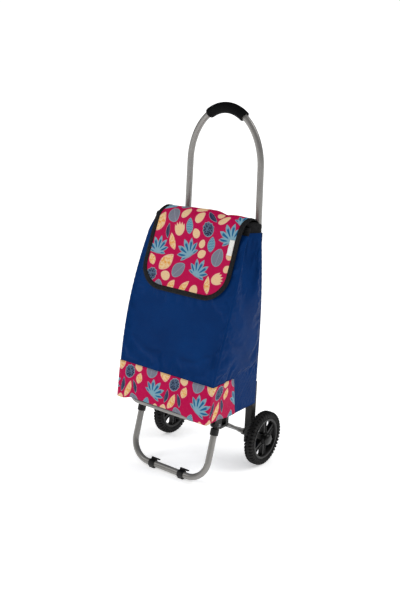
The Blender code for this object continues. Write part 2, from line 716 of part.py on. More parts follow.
def make_base_board():
    """Stiff board on the bag's floor."""
    z = BAG_FLOOR_Z + BAG_WALL + CLEAR
    edge = 0.006
    half = bag_half(z) - edge
    low = (-half, bag_front(z) + edge, z)
    high = (half, bag_rear(z) - edge, z + 0.0030)
    add_piece("base_board", box_mesh("base_board", low, high), black_plastic())


def make_band():
    """Printed strip round the foot of the bag: across the front and along part of each side."""
    reach = 0.085
    columns = ((-1, reach), (-1, reach / 2), (-1, 0), (0, 0), (1, 0), (1, reach / 2), (1, reach))
    heights = (BAND_BOTTOM_Z, BAG_FLOOR_Z + (BAG_TOP_Z - BAG_FLOOR_Z) / BAG_LEVELS,
               BAND_BOTTOM_Z + BAND_HEIGHT)

    def place(u, v):
        across, back = columns[round(6 * u)]
        z = heights[round(2 * v)]
        half = on_facet(bag_half, z) + CLEAR
        front = on_facet(bag_front, z) - CLEAR
        return Vector((across * half, front + back, z))

    mesh = shaped_grid("bag_band", 6, 2, place)
    hollow(add_piece("bag_band", mesh, print_fabric()), -BAND_THICK)


def make_loop(side, z, level):
    """Webbing loop behind the bag, round the handle's leg."""
    name = f"bag_loop_{mirror_name(side)}_{level}"
    share = (z - BRACKET_TOP) / (ARCH_FOOT_Z - BRACKET_TOP)
    x = side * (SIDE_X + (ARCH_HALF - SIDE_X) * share)
    ring = TUBE_RADIUS + 0.0012
    strap = 0.0022
    height = 0.024
    front = max(bag_rear(z + 0.012), bag_rear(z - 0.012)) + 0.0006
    depth = HANDLE_Y - front
    steps = 8

    def u_shape(radius, end):
        arc = [(x + radius * math.cos(math.pi * k / steps), HANDLE_Y + radius * math.sin(math.pi * k / steps))
               for k in range(steps + 1)]
        return arc + [(x - radius, HANDLE_Y - end), (x + radius, HANDLE_Y - end)]

    curve = bpy.data.curves.new(name, "CURVE")
    curve.dimensions = "2D"
    curve.fill_mode = "BOTH"
    curve.extrude = height / 2
    for points in (u_shape(ring + strap, depth), u_shape(ring, depth - strap)):
        line = curve.splines.new("POLY")
        line.points.add(len(points) - 1)
        for point, place in zip(line.points, points):
            point.co = (*place, 0, 1)
        line.use_cyclic_u = True
    obj = bpy.data.objects.new(name, curve)
    CUTTERS.objects.link(obj)
    bpy.context.view_layer.update()
    graph = bpy.context.evaluated_depsgraph_get()
    mesh = bpy.data.meshes.new_from_object(obj.evaluated_get(graph))
    bpy.data.objects.remove(obj, do_unlink=True)
    mesh.transform(Matrix.Translation((0, 0, z)))
    bm = bmesh.new()
    bm.from_mesh(mesh)
    bmesh.ops.remove_doubles(bm, verts=bm.verts, dist=0.00001)
    add_piece(name, mesh_from(bm, name), black_fabric())


# ---- flap ---------------------------------------------------------------------------------------
FLAP_GAP = 0.0038         # between the bag's front and the flap's inner face
FLAP_REAR_Y = -0.0505
FLAP_REAR_Z = 0.6995
FLAP_CREST = 0.018


def flap_lengths():
    """Length of the flap's top, over the mouth, and of its front, down the bag."""
    front = bag_front(BAG_TOP_Z) - FLAP_GAP
    over = math.hypot(front - FLAP_REAR_Y, FLAP_CREST)
    return over * 1.05, (BAG_TOP_Z - FLAP_DROP_Z) * 1.035


def flap_point(share):
    """Point (y, z) on the flap's inner face: share 0 at the rear hem, 1 at the lower edge in front."""
    over, down = flap_lengths()
    run = share * (over + down)
    front = bag_front(BAG_TOP_Z) - FLAP_GAP
    if run <= over:
        t = run / over
        y = FLAP_REAR_Y + (front - FLAP_REAR_Y) * t
        z = FLAP_REAR_Z + (BAG_TOP_Z - FLAP_REAR_Z) * t + FLAP_CREST * math.sin(math.pi * t ** 0.9)
        return y, z
    z = BAG_TOP_Z - (run - over) / down * (BAG_TOP_Z - FLAP_DROP_Z)
    return on_facet(bag_front, z) - FLAP_GAP, z


def flap_place(x, run, lift=0.0):
    """Point on the flap, at x across and run along it, lifted off the inner face."""
    over, down = flap_lengths()
    share = min(max(run / (over + down), 0), 1)
    step = 0.002
    y, z = flap_point(share)
    y0, z0 = flap_point(max(share - step, 0))
    y1, z1 = flap_point(min(share + step, 1))
    along = Vector((0, y1 - y0, z1 - z0)).normalized()
    normal = along.cross(Vector((1, 0, 0)))
    return Vector((x, y, z)) + normal * lift


def flap_half_at(run, total, half, corner):
    """Half of the panel's width at a distance along it, with round lower corners."""
    low = run - (total - corner)
    if low <= 0:
        return half
    return half - corner + math.sqrt(max(corner * corner - low * low, 0))


def make_flap():
    over, down = flap_lengths()
    total = over + down
    inner_total = total - BINDING_WIDTH - CLEAR
    inner_half = FLAP_HALF - BINDING_WIDTH - CLEAR
    corner = FLAP_CORNER - BINDING_WIDTH

    def panel(u, v):
        steps = 24
        lower = corner / inner_total
        k = round(v * steps)
        if k <= 16:
            run = k / 16 * (1 - lower) * inner_total
        else:
            turn = (k - 16) / 8 * math.radians(86)
            run = inner_total - corner + corner * math.sin(turn)
        half = flap_half_at(run, inner_total, inner_half, corner)
        return flap_place((2 * u - 1) * half, run)

    mesh = shaped_grid("flap_panel", 6, 24, panel)
    hollow(add_piece("flap_panel", mesh, print_fabric(), "flap"), FLAP_THICK)

    side_steps, bend_steps = 14, 7
    middle = FLAP_HALF - BINDING_WIDTH / 2
    bend = FLAP_CORNER - BINDING_WIDTH / 2
    stations = [(-middle, k / side_steps * (total - FLAP_CORNER), -1, 0) for k in range(side_steps)]
    for k in range(bend_steps + 1):
        turn = math.pi / 2 * k / bend_steps
        stations.append((-middle + bend - bend * math.cos(turn), total - FLAP_CORNER + bend * math.sin(turn),
                         -math.cos(turn), math.sin(turn)))
    stations += [(-x, run, -out_x, out_run) for x, run, out_x, out_run in reversed(stations)]
    last = len(stations) - 1

    def tape(u, v):
        x, run, out_x, out_run = stations[min(max(round(u * last), 0), last)]
        off = (v - 0.5) * BINDING_WIDTH
        return flap_place(x + out_x * off, run + out_run * off, -0.0004)

    mesh = shaped_grid("flap_binding", last, 1, tape)
    hollow(add_piece("flap_binding", mesh, black_fabric(), "flap"), 0.0022)


def make_label():
    """Blank tag on the right side of the flap."""
    over, down = flap_lengths()

    def place(u, v):
        return flap_place(0.1195 + 0.012 * u, over + 0.028 + 0.040 * v, FLAP_THICK + 0.0003)

    mesh = shaped_grid("flap_label", 1, 4, place)
    hollow(add_piece("flap_label", mesh, material("white_tape", (0.8, 0.8, 0.78), 0.6), "flap"), 0.0006)


def make_closure():
    """Hook-and-loop patches that hold the flap down: one on the bag, one under the flap."""
    over, down = flap_lengths()
    run = over + down - 0.045
    height = 0.024
    for name, pivot, lift in (("closure_patch_bag", "frame", -FLAP_GAP + 0.0004),
                              ("closure_patch_flap", "flap", -0.0013)):
        mesh = shaped_grid(name, 2, 2, lambda u, v: flap_place(0.07 * (u - 0.5), run + height * v, lift))
        hollow(add_piece(name, mesh, black_fabric(), pivot), 0.0010)


def build():
    start_scene()
    make_handle()
    make_axle()
    make_platform()
    make_foot()
    for side in (-1, 1):
        make_upright(side)
        make_wheel(side)
        make_arm_end(side)
        make_foot_joint(side)
        make_stay(side)
        make_stay_snap(side)
        make_foot_collar(side)
        make_foot_clip(side)
        for level, z in (("lower", 0.34), ("upper", 0.655)):
            make_loop(side, z, level)
    make_bag()
    make_base_board()
    make_band()
    make_flap()
    make_label()
    make_closure()
    bpy.context.view_layer.update()


build()
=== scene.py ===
import json
import math
import random

import bmesh
import bpy
import numpy as np
from mathutils import Matrix, Vector, noise
from mathutils.geometry import delaunay_2d_cdt


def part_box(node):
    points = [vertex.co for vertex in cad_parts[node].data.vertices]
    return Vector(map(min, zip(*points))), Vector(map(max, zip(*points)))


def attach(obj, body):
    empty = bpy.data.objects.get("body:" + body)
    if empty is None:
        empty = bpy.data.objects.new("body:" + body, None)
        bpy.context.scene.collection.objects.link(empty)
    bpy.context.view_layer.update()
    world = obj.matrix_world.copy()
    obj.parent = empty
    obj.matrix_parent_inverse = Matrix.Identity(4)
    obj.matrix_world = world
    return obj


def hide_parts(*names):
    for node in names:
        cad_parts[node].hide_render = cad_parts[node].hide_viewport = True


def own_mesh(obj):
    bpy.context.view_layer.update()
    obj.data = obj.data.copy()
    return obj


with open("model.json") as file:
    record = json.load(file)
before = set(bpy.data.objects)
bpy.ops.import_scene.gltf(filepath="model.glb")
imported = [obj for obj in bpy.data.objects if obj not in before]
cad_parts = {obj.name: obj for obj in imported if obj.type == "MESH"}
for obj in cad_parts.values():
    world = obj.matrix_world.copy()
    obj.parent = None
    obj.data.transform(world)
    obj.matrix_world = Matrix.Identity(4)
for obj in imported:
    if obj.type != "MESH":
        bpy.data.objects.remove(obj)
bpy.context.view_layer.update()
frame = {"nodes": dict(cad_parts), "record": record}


# ---- places, from the frame ---------------------------------------------------------------------
def low(node):
    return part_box(node)[0]


def high(node):
    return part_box(node)[1]


def middle(node):
    return (low(node) + high(node)) / 2


def joint_place(name):
    found = next(j for j in frame["record"]["behaviour"]["joints"] if j["name"] == name)
    return Vector(found["pos_m"])


AXLE = middle("axle_rod")
WHEEL_X = middle("tyre_right").x
WHEEL_HALF = (high("tyre_right").x - low("tyre_right").x) / 2
WHEEL_RADIUS = (high("tyre_right").z - low("tyre_right").z) / 2
TUBE_RADIUS = (high("platform_tube").z - low("platform_tube").z) / 2
TUBE_WALL = 0.0012
SIDE_X = high("handle_tube").x - TUBE_RADIUS
HANDLE_Y = middle("handle_tube").y
HANDLE_TOP = high("handle_tube").z - TUBE_RADIUS
ARCH_HEIGHT = 0.155
ARCH_HALF = 0.1168
GRIP_RADIUS = 0.0148
GRIP_ANGLE = math.radians(30)
FOOT_PIVOT = joint_place("foot_fold")
FLAP_HEM = joint_place("flap_open")
FOOT_BAR = Vector((0, low("foot_tube").y + TUBE_RADIUS, low("foot_tube").z + TUBE_RADIUS))
PLATFORM_Z = middle("platform_tube").z
PLATFORM_FRONT = low("platform_tube").y + TUBE_RADIUS
PLATFORM_REAR = high("platform_tube").y
PLATFORM_BEND = 0.040
FOOT_BEND = 0.058

BAG_FLOOR = low("bag_body").z
BAG_RIM = high("bag_body").z
BLUE_TOP = BAG_RIM - 0.014       # the blue cloth ends here, and the black collar goes on
COLLAR_TOP = BAG_RIM + 0.0055
BAND_LOW = low("bag_band").z
BAND_HIGH = high("bag_band").z
BAND_BACK = high("bag_band").y
FLAP_HALF = high("flap_binding").x
FLAP_LOW = low("flap_binding").z
FLAP_CORNER = 0.074
BINDING_WIDTH = 0.0140
FLAP_GAP = 0.0050
SEED = 11


# ---- camera, light and floor --------------------------------------------------------------------
def make_camera():
    """Camera at 36.6 degrees to the right of the front, 16 degrees up, 2.5 m away."""
    azimuth, elevation, roll = (math.radians(a) for a in (36.57, 15.95, 2.26))
    flat = math.cos(elevation)
    back = Vector((math.sin(azimuth) * flat, -math.cos(azimuth) * flat, math.sin(elevation)))
    right = Vector((math.cos(azimuth), math.sin(azimuth), 0))
    up = right.cross(-back)
    data = bpy.data.cameras.new("camera")
    data.lens = 54.73
    data.sensor_width = 36
    camera = bpy.data.objects.new("camera", data)
    bpy.context.scene.collection.objects.link(camera)
    across = right * math.cos(roll) + up * math.sin(roll)
    upward = up * math.cos(roll) - right * math.sin(roll)
    turned = Matrix((across, upward, back)).transposed().to_4x4()
    camera.matrix_world = Matrix.Translation((1.432, AXLE.y - 2.033, 1.160)) @ turned
    bpy.context.scene.camera = camera


def add_light(name, place, target, size, power):
    data = bpy.data.lights.new(name, "AREA")
    data.size = size
    data.energy = power
    lamp = bpy.data.objects.new(name, data)
    lamp.location = place
    lamp.rotation_euler = (Vector(target) - Vector(place)).to_track_quat("-Z", "Y").to_euler()
    bpy.context.scene.collection.objects.link(lamp)


def make_studio():
    """White surroundings that light the object softly, a broad sun from the right rear, a large lamp at the
    front left, and a white floor."""
    bpy.context.scene.view_settings.view_transform = "Standard"
    world = bpy.data.worlds.new("studio")
    bpy.context.scene.world = world
    world.use_nodes = True
    world.cycles_visibility.glossy = False
    background = world.node_tree.nodes["Background"]
    seen = world.node_tree.nodes.new("ShaderNodeLightPath").outputs["Is Camera Ray"]
    strength = world.node_tree.nodes.new("ShaderNodeMapRange")
    strength.inputs["To Min"].default_value = 0.74
    strength.inputs["To Max"].default_value = 1.05
    world.node_tree.links.new(seen, strength.inputs["Value"])
    world.node_tree.links.new(strength.outputs["Result"], background.inputs["Strength"])
    background.inputs["Color"].default_value = (1, 1, 1, 1)
    add_light("key", (-1.5, -2.2, 2.4), (0, 0, 0.5), 1.0, 24)
    data = bpy.data.lights.new("sun", "SUN")
    data.energy = 1.0
    data.angle = math.radians(32)
    sun = bpy.data.objects.new("sun", data)
    sun.rotation_euler = Vector((0.55, 0.42, 0.72)).to_track_quat("Z", "Y").to_euler()
    bpy.context.scene.collection.objects.link(sun)

    shader = Shader("studio_floor", Roughness=0.9, Specular_IOR_Level=0.0, Emission_Strength=0.34)
    shader.bsdf.inputs["Emission Color"].default_value = (1, 1, 1, 1)
    grain = shader.noise(shader.place(), 3, 3)
    shader.feed("Base Color", shader.mix(grain, (0.955, 0.955, 0.955), (0.965, 0.965, 0.965)))
    mesh = bpy.data.meshes.new("studio_floor")
    bm = bmesh.new()
    bmesh.ops.create_grid(bm, x_segments=1, y_segments=1, size=30)
    bm.to_mesh(mesh)
    bm.free()
    mesh.materials.append(shader.material)
    floor = bpy.data.objects.new("studio_floor", mesh)
    floor.location.z = -0.0002
    bpy.context.scene.collection.objects.link(floor)


# ---- material helper ----------------------------------------------------------------------------
def srgb(red, green, blue):
    """Linear colour of 8-bit display values."""
    values = [c / 255 for c in (red, green, blue)]
    return tuple(c / 12.92 if c <= 0.04045 else ((c + 0.055) / 1.055) ** 2.4 for c in values)


class Shader:
    """A material with short ways to add nodes. Socket names are given with _ for a space."""

    def __init__(self, name, **sockets):
        self.material = bpy.data.materials.new(name)
        self.material.use_nodes = True
        self.tree = self.material.node_tree
        self.bsdf = self.tree.nodes["Principled BSDF"]
        for socket, value in sockets.items():
            self.bsdf.inputs[socket.replace("_", " ")].default_value = value

    def set(self, socket, value):
        if isinstance(value, bpy.types.NodeSocket):
            self.tree.links.new(value, socket)
        elif isinstance(value, tuple) and len(socket.default_value) == 4:
            socket.default_value = (*value, 1)
        else:
            socket.default_value = value

    def feed(self, name, value):
        self.set(self.bsdf.inputs[name], value)

    def node(self, kind, inputs=(), **settings):
        made = self.tree.nodes.new("ShaderNode" + kind)
        for key, value in settings.items():
            setattr(made, key, value)
        for key, value in dict(inputs).items():
            self.set(made.inputs[key], value)
        return made

    def place(self):
        return self.node("TexCoord").outputs["Object"]

    def uv(self, name):
        return self.node("UVMap", uv_map=name).outputs["UV"]

    def split(self, vector):
        return self.node("SeparateXYZ", {0: vector}).outputs

    def join(self, x, y, z):
        return self.node("CombineXYZ", {0: x, 1: y, 2: z}).outputs[0]

    def math(self, operation, a, b=0.0):
        return self.node("Math", {0: a, 1: b}, operation=operation).outputs[0]

    def noise(self, vector, scale, detail=2.0, roughness=0.5):
        inputs = {"Vector": vector, "Scale": scale, "Detail": detail, "Roughness": roughness}
        return self.node("TexNoise", inputs).outputs["Fac"]

    def cells(self, vector, scale):
        return self.node("TexVoronoi", {"Vector": vector, "Scale": scale}).outputs["Distance"]

    def range(self, value, from_low, from_high, to_low, to_high):
        inputs = {"Value": value, "From Min": from_low, "From Max": from_high}
        inputs.update({"To Min": to_low, "To Max": to_high})
        return self.node("MapRange", inputs).outputs["Result"]

    def mix(self, share, a, b):
        made = self.node("Mix", data_type="RGBA")
        self.set(made.inputs["Factor"], share)
        self.set(made.inputs[6], a)
        self.set(made.inputs[7], b)
        return made.outputs[2]

    def colour(self, share, dark, pale):
        """Base colour between two, given as 8-bit display values."""
        self.feed("Base Color", self.mix(share, srgb(*dark), srgb(*pale)))

    def rough(self, where, scale, detail, low_end, high_end):
        """Roughness that wanders between two values."""
        self.feed("Roughness", self.range(self.noise(where, scale, detail), 0.3, 0.7, low_end, high_end))

    def bump(self, height, distance):
        inputs = {"Height": height, "Distance": distance}
        self.feed("Normal", self.node("Bump", inputs).outputs["Normal"])

    def ribs(self, side, pitch):
        """A wave along one coordinate, from -1 to 1."""
        return self.math("SINE", self.math("MULTIPLY", side, 2 * math.pi / pitch))

    def weave(self, uv, pitch):
        """Height of a plain weave, from 0 to 1: threads that pass over and under in turn."""
        waves = [self.ribs(side, pitch) for side in self.split(uv)[:2]]
        return self.range(self.math("MULTIPLY", *waves), -1, 1, 0, 1)


# ---- materials ----------------------------------------------------------------------------------
def grey_paint():
    """Satin grey powder paint with a fine orange peel and a few rubbed patches."""
    s = Shader("grey_paint", Metallic=0.45)
    where = s.place()
    s.colour(s.noise(where, 14, 4), (127, 125, 122), (143, 141, 138))
    s.feed("Roughness", s.range(s.noise(where, 55, 4), 0.35, 0.7, 0.30, 0.44))
    s.bump(s.noise(where, 900, 2), 0.00006)
    return s.material


def black_plastic(name="black_plastic", shade=17, shine=0.42):
    """Moulded plastic with a fine spark-eroded grain and slightly paler scuffs."""
    s = Shader(name, Specular_IOR_Level=0.35)
    where = s.place()
    scuff = s.range(s.noise(where, 70, 6, 0.7), 0.62, 0.78, 0, 1)
    s.colour(scuff, [shade] * 3, [shade + 18] * 3)
    s.rough(where, 160, 3, shine - 0.05, shine + 0.1)
    s.bump(s.noise(where, 2600, 2), 0.00005)
    return s.material


def tyre_rubber():
    """Dull rubber with dust in its grain."""
    s = Shader("tyre_rubber", Specular_IOR_Level=0.22)
    where = s.place()
    dust = s.range(s.noise(where, 38, 6, 0.65), 0.45, 0.8, 0, 1)
    s.colour(dust, (20, 20, 20), (40, 39, 38))
    s.rough(where, 120, 3, 0.62, 0.82)
    s.bump(s.noise(where, 1500, 3), 0.00012)
    return s.material


def grip_foam():
    """Closed-cell foam: a skin of small pits."""
    s = Shader("grip_foam", Specular_IOR_Level=0.10)
    where = s.place()
    pits = s.cells(where, 900)
    s.colour(s.noise(where, 40, 4), (4, 4, 5), (11, 11, 12))
    s.feed("Roughness", s.range(pits, 0, 0.6, 0.92, 0.74))
    s.bump(pits, 0.0002)
    return s.material


def bare_steel():
    """Zinc-plated steel, brushed along X, with a little tarnish."""
    s = Shader("bare_steel", Metallic=1.0)
    where = s.place()
    x, y, z = s.split(where)
    stretched = [s.math("MULTIPLY", side, scale) for side, scale in ((x, 12), (y, 900), (z, 900))]
    lines = s.noise(s.join(*stretched), 1, 3)
    s.colour(s.noise(where, 90, 4), (104, 104, 107), (132, 132, 135))
    s.feed("Roughness", s.range(lines, 0.3, 0.7, 0.24, 0.42))
    s.bump(lines, 0.00003)
    return s.material


def blue_cloth():
    """Blue coated polyester: a fine plain weave and soft creases. Its base colour wanders in broad patches,
    partly a random tone and partly painted sheen, and has fine paler flecks of painted sheen.
    """
    s = Shader("blue_cloth", Specular_IOR_Level=0.05)
    uv = s.uv("cloth")
    # painted sheen: broad patches of the blue, partly a random tone and partly standing in for the cloth's
    # sheen
    tone = s.noise(uv, 9, 5, 0.6)
    fine = s.noise(uv, 420, 2)
    base = s.mix(s.range(tone, 0.3, 0.7, 0, 1), srgb(0, 35, 83), srgb(0, 44, 97))
    # painted sheen: fine flecks mixed up to 18% towards a paler blue
    s.feed("Base Color", s.mix(s.range(fine, 0.35, 0.65, 0, 0.18), base, srgb(8, 60, 118)))
    s.rough(uv, 60, 3, 0.42, 0.56)
    creases = s.range(s.noise(uv, 26, 6, 0.62), 0.2, 0.8, 0, 1)
    s.bump(s.math("ADD", creases, s.math("MULTIPLY", s.weave(uv, 0.0011), 0.09)), 0.0011)
    return s.material


def printed(name, colour):
    """Printed polyester of one ink, given as a function of the shader, on the same weave everywhere."""
    s = Shader(name, Specular_IOR_Level=0.07)
    uv = s.uv("cloth")
    ink = colour(s)
    fine = s.range(s.noise(uv, 500, 2), 0.3, 0.7, 0.90, 1.06)
    s.feed("Base Color", s.node("VectorMath", {0: ink, "Scale": fine}, operation="SCALE").outputs[0])
    s.rough(uv, 70, 3, 0.34, 0.48)
    creases = s.range(s.noise(uv, 30, 6, 0.6), 0.2, 0.8, 0, 1)
    s.bump(s.math("ADD", creases, s.math("MULTIPLY", s.weave(uv, 0.0009), 0.08)), 0.0010)
    return s.material


def black_tape(name="black_tape", pitch=0.0011):
    """Grosgrain: fine ribs across the tape."""
    s = Shader(name, Specular_IOR_Level=0.3)
    uv = s.uv("cloth")
    along = s.split(uv)[0]
    s.colour(s.noise(uv, 120, 3), (10, 10, 12), (24, 24, 27))
    s.rough(uv, 200, 2, 0.66, 0.82)
    s.bump(s.math("ADD", s.math("MULTIPLY", s.ribs(along, pitch), 0.5), s.noise(uv, 600, 2)), 0.00025)
    return s.material


def black_webbing():
    """Black woven cloth for parts that have no cloth coordinates of their own."""
    s = Shader("black_webbing", Specular_IOR_Level=0.3)
    where = s.place()
    x, y, z = s.split(where)
    ribs = s.math("MULTIPLY", s.ribs(z, 0.0016), s.ribs(s.math("ADD", x, y), 0.0022))
    s.colour(s.noise(where, 150, 3), (15, 15, 17), (32, 32, 35))
    s.rough(where, 220, 2, 0.68, 0.84)
    s.bump(s.math("ADD", ribs, s.noise(where, 700, 2)), 0.0003)
    return s.material


def hook_and_loop():
    """Fuzzy loop tape."""
    s = Shader("hook_and_loop", Sheen_Weight=0.15, Sheen_Roughness=0.7)
    uv = s.uv("cloth")
    fuzz = s.cells(uv, 1300)
    s.colour(s.noise(uv, 260, 4), (12, 12, 13), (34, 34, 36))
    s.feed("Roughness", s.range(fuzz, 0, 0.7, 0.8, 0.97))
    s.bump(s.math("ADD", fuzz, s.noise(uv, 1500, 4)), 0.0006)
    return s.material


def white_tag():
    """Blank satin tag with a fine diagonal weave."""
    s = Shader("white_tag", Sheen_Weight=0.25, Sheen_Roughness=0.35)
    uv = s.uv("cloth")
    x, y = s.split(uv)[:2]
    s.colour(s.noise(uv, 180, 4), (212, 211, 206), (234, 233, 229))
    s.rough(uv, 240, 2, 0.45, 0.6)
    s.bump(s.ribs(s.math("ADD", x, y), 0.0008), 0.00008)
    return s.material


def board_card():
    """Grey-black fibre board under a thin skin."""
    s = Shader("board_card")
    where = s.place()
    s.colour(s.noise(where, 180, 6, 0.7), (30, 30, 32), (52, 51, 50))
    s.rough(where, 90, 3, 0.6, 0.8)
    s.bump(s.noise(where, 800, 4), 0.0002)
    return s.material


# ---- inks of the print --------------------------------------------------------------------------
FINGERS = 7
HAND_SPREAD = math.radians(104)
HAND_ROOT = 0.42      # how far below the leaf's middle its fingers meet


def leaf_parts(s):
    """The leaf's own coordinates: x across it and y along it, both over its length."""
    return s.split(s.uv("leaf"))[:2]


def veins(s, count, width):
    """1 on the midrib and on slanting side veins, 0 between them."""
    x, y = leaf_parts(s)
    aside = s.math("ABSOLUTE", x)
    slant = s.math("SUBTRACT", y, s.math("MULTIPLY", aside, 0.9))
    side = s.math("ABSOLUTE", s.math("SINE", s.math("MULTIPLY", slant, math.pi * count)))
    thin = s.range(side, 0, width, 1, 0)
    rib = s.range(aside, 0.008, 0.028, 1, 0)
    return s.math("MAXIMUM", thin, rib)


def ground_ink(s):
    tone = s.noise(s.uv("cloth"), 12, 5, 0.6)
    return s.mix(tone, srgb(160, 0, 60), srgb(179, 2, 73))


def ochre_ink(s):
    blot = s.range(s.noise(s.uv("leaf"), 7.5, 4, 0.6), 0.46, 0.58, 0, 1)
    return s.mix(blot, srgb(214, 184, 138), srgb(206, 138, 58))


def cream_ink(s):
    spots = s.range(s.noise(s.uv("cloth"), 420, 3), 0.5, 0.75, 0, 0.6)
    return s.mix(spots, srgb(212, 180, 138), srgb(190, 150, 108))


def slate_ink(s):
    streak = s.mix(s.noise(s.uv("leaf"), 16, 5, 0.7), srgb(92, 96, 110), srgb(122, 124, 138))
    return s.mix(s.math("MULTIPLY", veins(s, 9, 0.22), 0.5), streak, srgb(146, 148, 160))


def sky_ink(s):
    """Pale blue with a darker stripe along each finger, the fingers fanning out from the stalk."""
    x, y = leaf_parts(s)
    along = s.math("ADD", y, HAND_ROOT)
    angle = s.math("ARCTAN2", x, along)
    turns = s.math("MULTIPLY", angle, FINGERS / 2 / HAND_SPREAD * math.pi)
    stripe = s.math("ABSOLUTE", s.math("COSINE", turns))
    reach = s.math("SQRT", s.math("ADD", s.math("MULTIPLY", x, x), s.math("MULTIPLY", along, along)))
    inside = s.math("MULTIPLY", s.range(reach, 0.20, 0.30, 0, 1), s.range(reach, 0.72, 0.62, 0, 1))
    dark = s.math("MULTIPLY", s.range(stripe, 0.72, 0.86, 0, 1), inside)
    wash = s.mix(s.noise(s.uv("leaf"), 14, 5, 0.7), srgb(92, 138, 158), srgb(134, 166, 178))
    return s.mix(dark, wash, srgb(16, 88, 130))


def navy_ink(s):
    """Rows of pale-edged scales on navy."""
    scale = s.cells(s.uv("leaf"), 11)
    pale = s.range(scale, 0.42, 0.56, 0, 0.8)
    return s.mix(pale, srgb(26, 32, 58), srgb(84, 104, 128))


def teal_ink(s):
    x, y = leaf_parts(s)
    wave = s.math("SINE", s.math("MULTIPLY", x, 34.0))
    lines = s.math("SINE", s.math("ADD", s.math("MULTIPLY", y, 62.0), s.math("MULTIPLY", wave, 0.9)))
    return s.mix(s.range(lines, -0.1, 0.5, 0, 1), srgb(60, 116, 140), srgb(122, 158, 170))


def slim_ink(s):
    return s.mix(s.math("MULTIPLY", veins(s, 12, 0.3), 0.7), srgb(38, 46, 72), srgb(76, 88, 112))


def edge_ink(s):
    """The pale line round each leaf, bluer on some than on others."""
    kind = s.split(s.uv("edge"))[0]
    return s.mix(kind, srgb(206, 160, 144), srgb(118, 138, 150))


# ---- mesh helpers -------------------------------------------------------------------------------
def add_piece(name, mesh, body, stands_for, slot, *materials):
    """Adds a mesh whose points are in the frame's metres, hangs it on its body's empty and hides the CAD
    parts that it stands for.
    """
    piece = bpy.data.objects.new(name, mesh)
    bpy.context.scene.collection.objects.link(piece)
    for material in materials:
        mesh.materials.append(material)
    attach(piece, body)
    if stands_for:
        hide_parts(*stands_for)
    return piece


def mesh_of(bm, name, sharp=None):
    mesh = bpy.data.meshes.new(name)
    bm.to_mesh(mesh)
    bm.free()
    mesh.shade_smooth()
    if sharp is not None:
        mesh.set_sharp_from_angle(angle=math.radians(sharp))
    return mesh


def ring_mesh(name, rings, closed_rings=True, closed_run=False, caps=False, uv=None, sharp=None):
    """A skin over rows of points. uv gives the cloth coordinates of row i and column j."""
    bm = bmesh.new()
    rows = [[bm.verts.new(p) for p in ring] for ring in rings]
    layer = bm.loops.layers.uv.new("cloth") if uv else None
    count = len(rows[0])
    for i in range(len(rows) if closed_run else len(rows) - 1):
        for j in range(count if closed_rings else count - 1):
            corners = ((i, j), (i, j + 1), (i + 1, j + 1), (i + 1, j))
            face = bm.faces.new([rows[a % len(rows)][b % count] for a, b in corners])
            if layer:
                for loop, (a, b) in zip(face.loops, corners):
                    loop[layer].uv = uv(a, b)
    if caps:
        bm.faces.new(list(reversed(rows[0])))
        bm.faces.new(rows[-1])
    return mesh_of(bm, name, sharp)


def smooth_line(points, spacing):
    """Evenly spaced points on a Catmull-Rom curve through the given ones."""
    points = [Vector(p) for p in points]
    padded = [2 * points[0] - points[1]] + points + [2 * points[-1] - points[-2]]
    fine = []
    steps = 16
    for a, b, c, d in zip(padded, padded[1:], padded[2:], padded[3:]):
        for k in range(steps):
            t = k / steps
            fine.append(0.5 * (2 * b + (c - a) * t + (2 * a - 5 * b + 4 * c - d) * t * t
                               + (3 * b - a - 3 * c + d) * t * t * t))
    fine.append(points[-1])
    return even_line(fine, spacing)


def even_line(points, spacing):
    lengths = np.cumsum([0] + [(b - a).length for a, b in zip(points, points[1:])])
    count = max(2, round(lengths[-1] / spacing))
    wanted = np.linspace(0, lengths[-1], count + 1)
    table = np.array([tuple(p) for p in points])
    return [Vector([np.interp(w, lengths, table[:, axis]) for axis in range(table.shape[1])]) for w in wanted]


def lengths_round(ring):
    """Distance along a closed ring from its first point to each point, and back to the first."""
    return np.cumsum([0] + [(b - a).length for a, b in zip(ring, ring[1:] + ring[:1])])


def rounded_path(corners, radius, spacing):
    """Points along straight runs between the corners, with an arc of the radius at each inner one."""
    corners = [Vector(c) for c in corners]
    path = [corners[0]]
    for before, corner, after in zip(corners, corners[1:], corners[2:]):
        back = (before - corner).normalized()
        ahead = (after - corner).normalized()
        half = back.angle(ahead) / 2
        centre = corner + (back + ahead).normalized() * (radius / math.sin(half))
        first = corner + back * (radius / math.tan(half)) - centre
        axis = first.cross(corner + ahead * (radius / math.tan(half)) - centre).normalized()
        steps = 24
        path += [centre + Matrix.Rotation((math.pi - 2 * half) * k / steps, 3, axis) @ first
                 for k in range(steps + 1)]
    return even_line(path + [corners[-1]], spacing)


def direction(path, k):
    """Unit direction of the path at its point k."""
    return (path[min(k + 1, len(path) - 1)] - path[max(k - 1, 0)]).normalized()


def angles(count):
    """Evenly spaced angles round a whole turn."""
    return [2 * math.pi * n / count for n in range(count)]


def tube_mesh(name, path, radius, wall, sides=32):
    """A tube with open ends, swept along the path. Radius may be a function of the share along it."""
    size = radius if callable(radius) else lambda share: radius
    tangents = [direction(path, k) for k in range(len(path))]
    across = Vector((0, 1, 0)) if abs(tangents[0].y) < 0.9 else Vector((1, 0, 0))
    outer, inner = [], []
    for k, (point, along) in enumerate(zip(path, tangents)):
        across = (across - along * across.dot(along)).normalized()
        other = along.cross(across)
        share = k / (len(path) - 1)
        for rings, r in ((outer, size(share)), (inner, size(share) - wall)):
            rings.append([point + (across * math.cos(a) + other * math.sin(a)) * r for a in angles(sides)])
    return ring_mesh(name, outer + inner[::-1], closed_run=True, sharp=50)


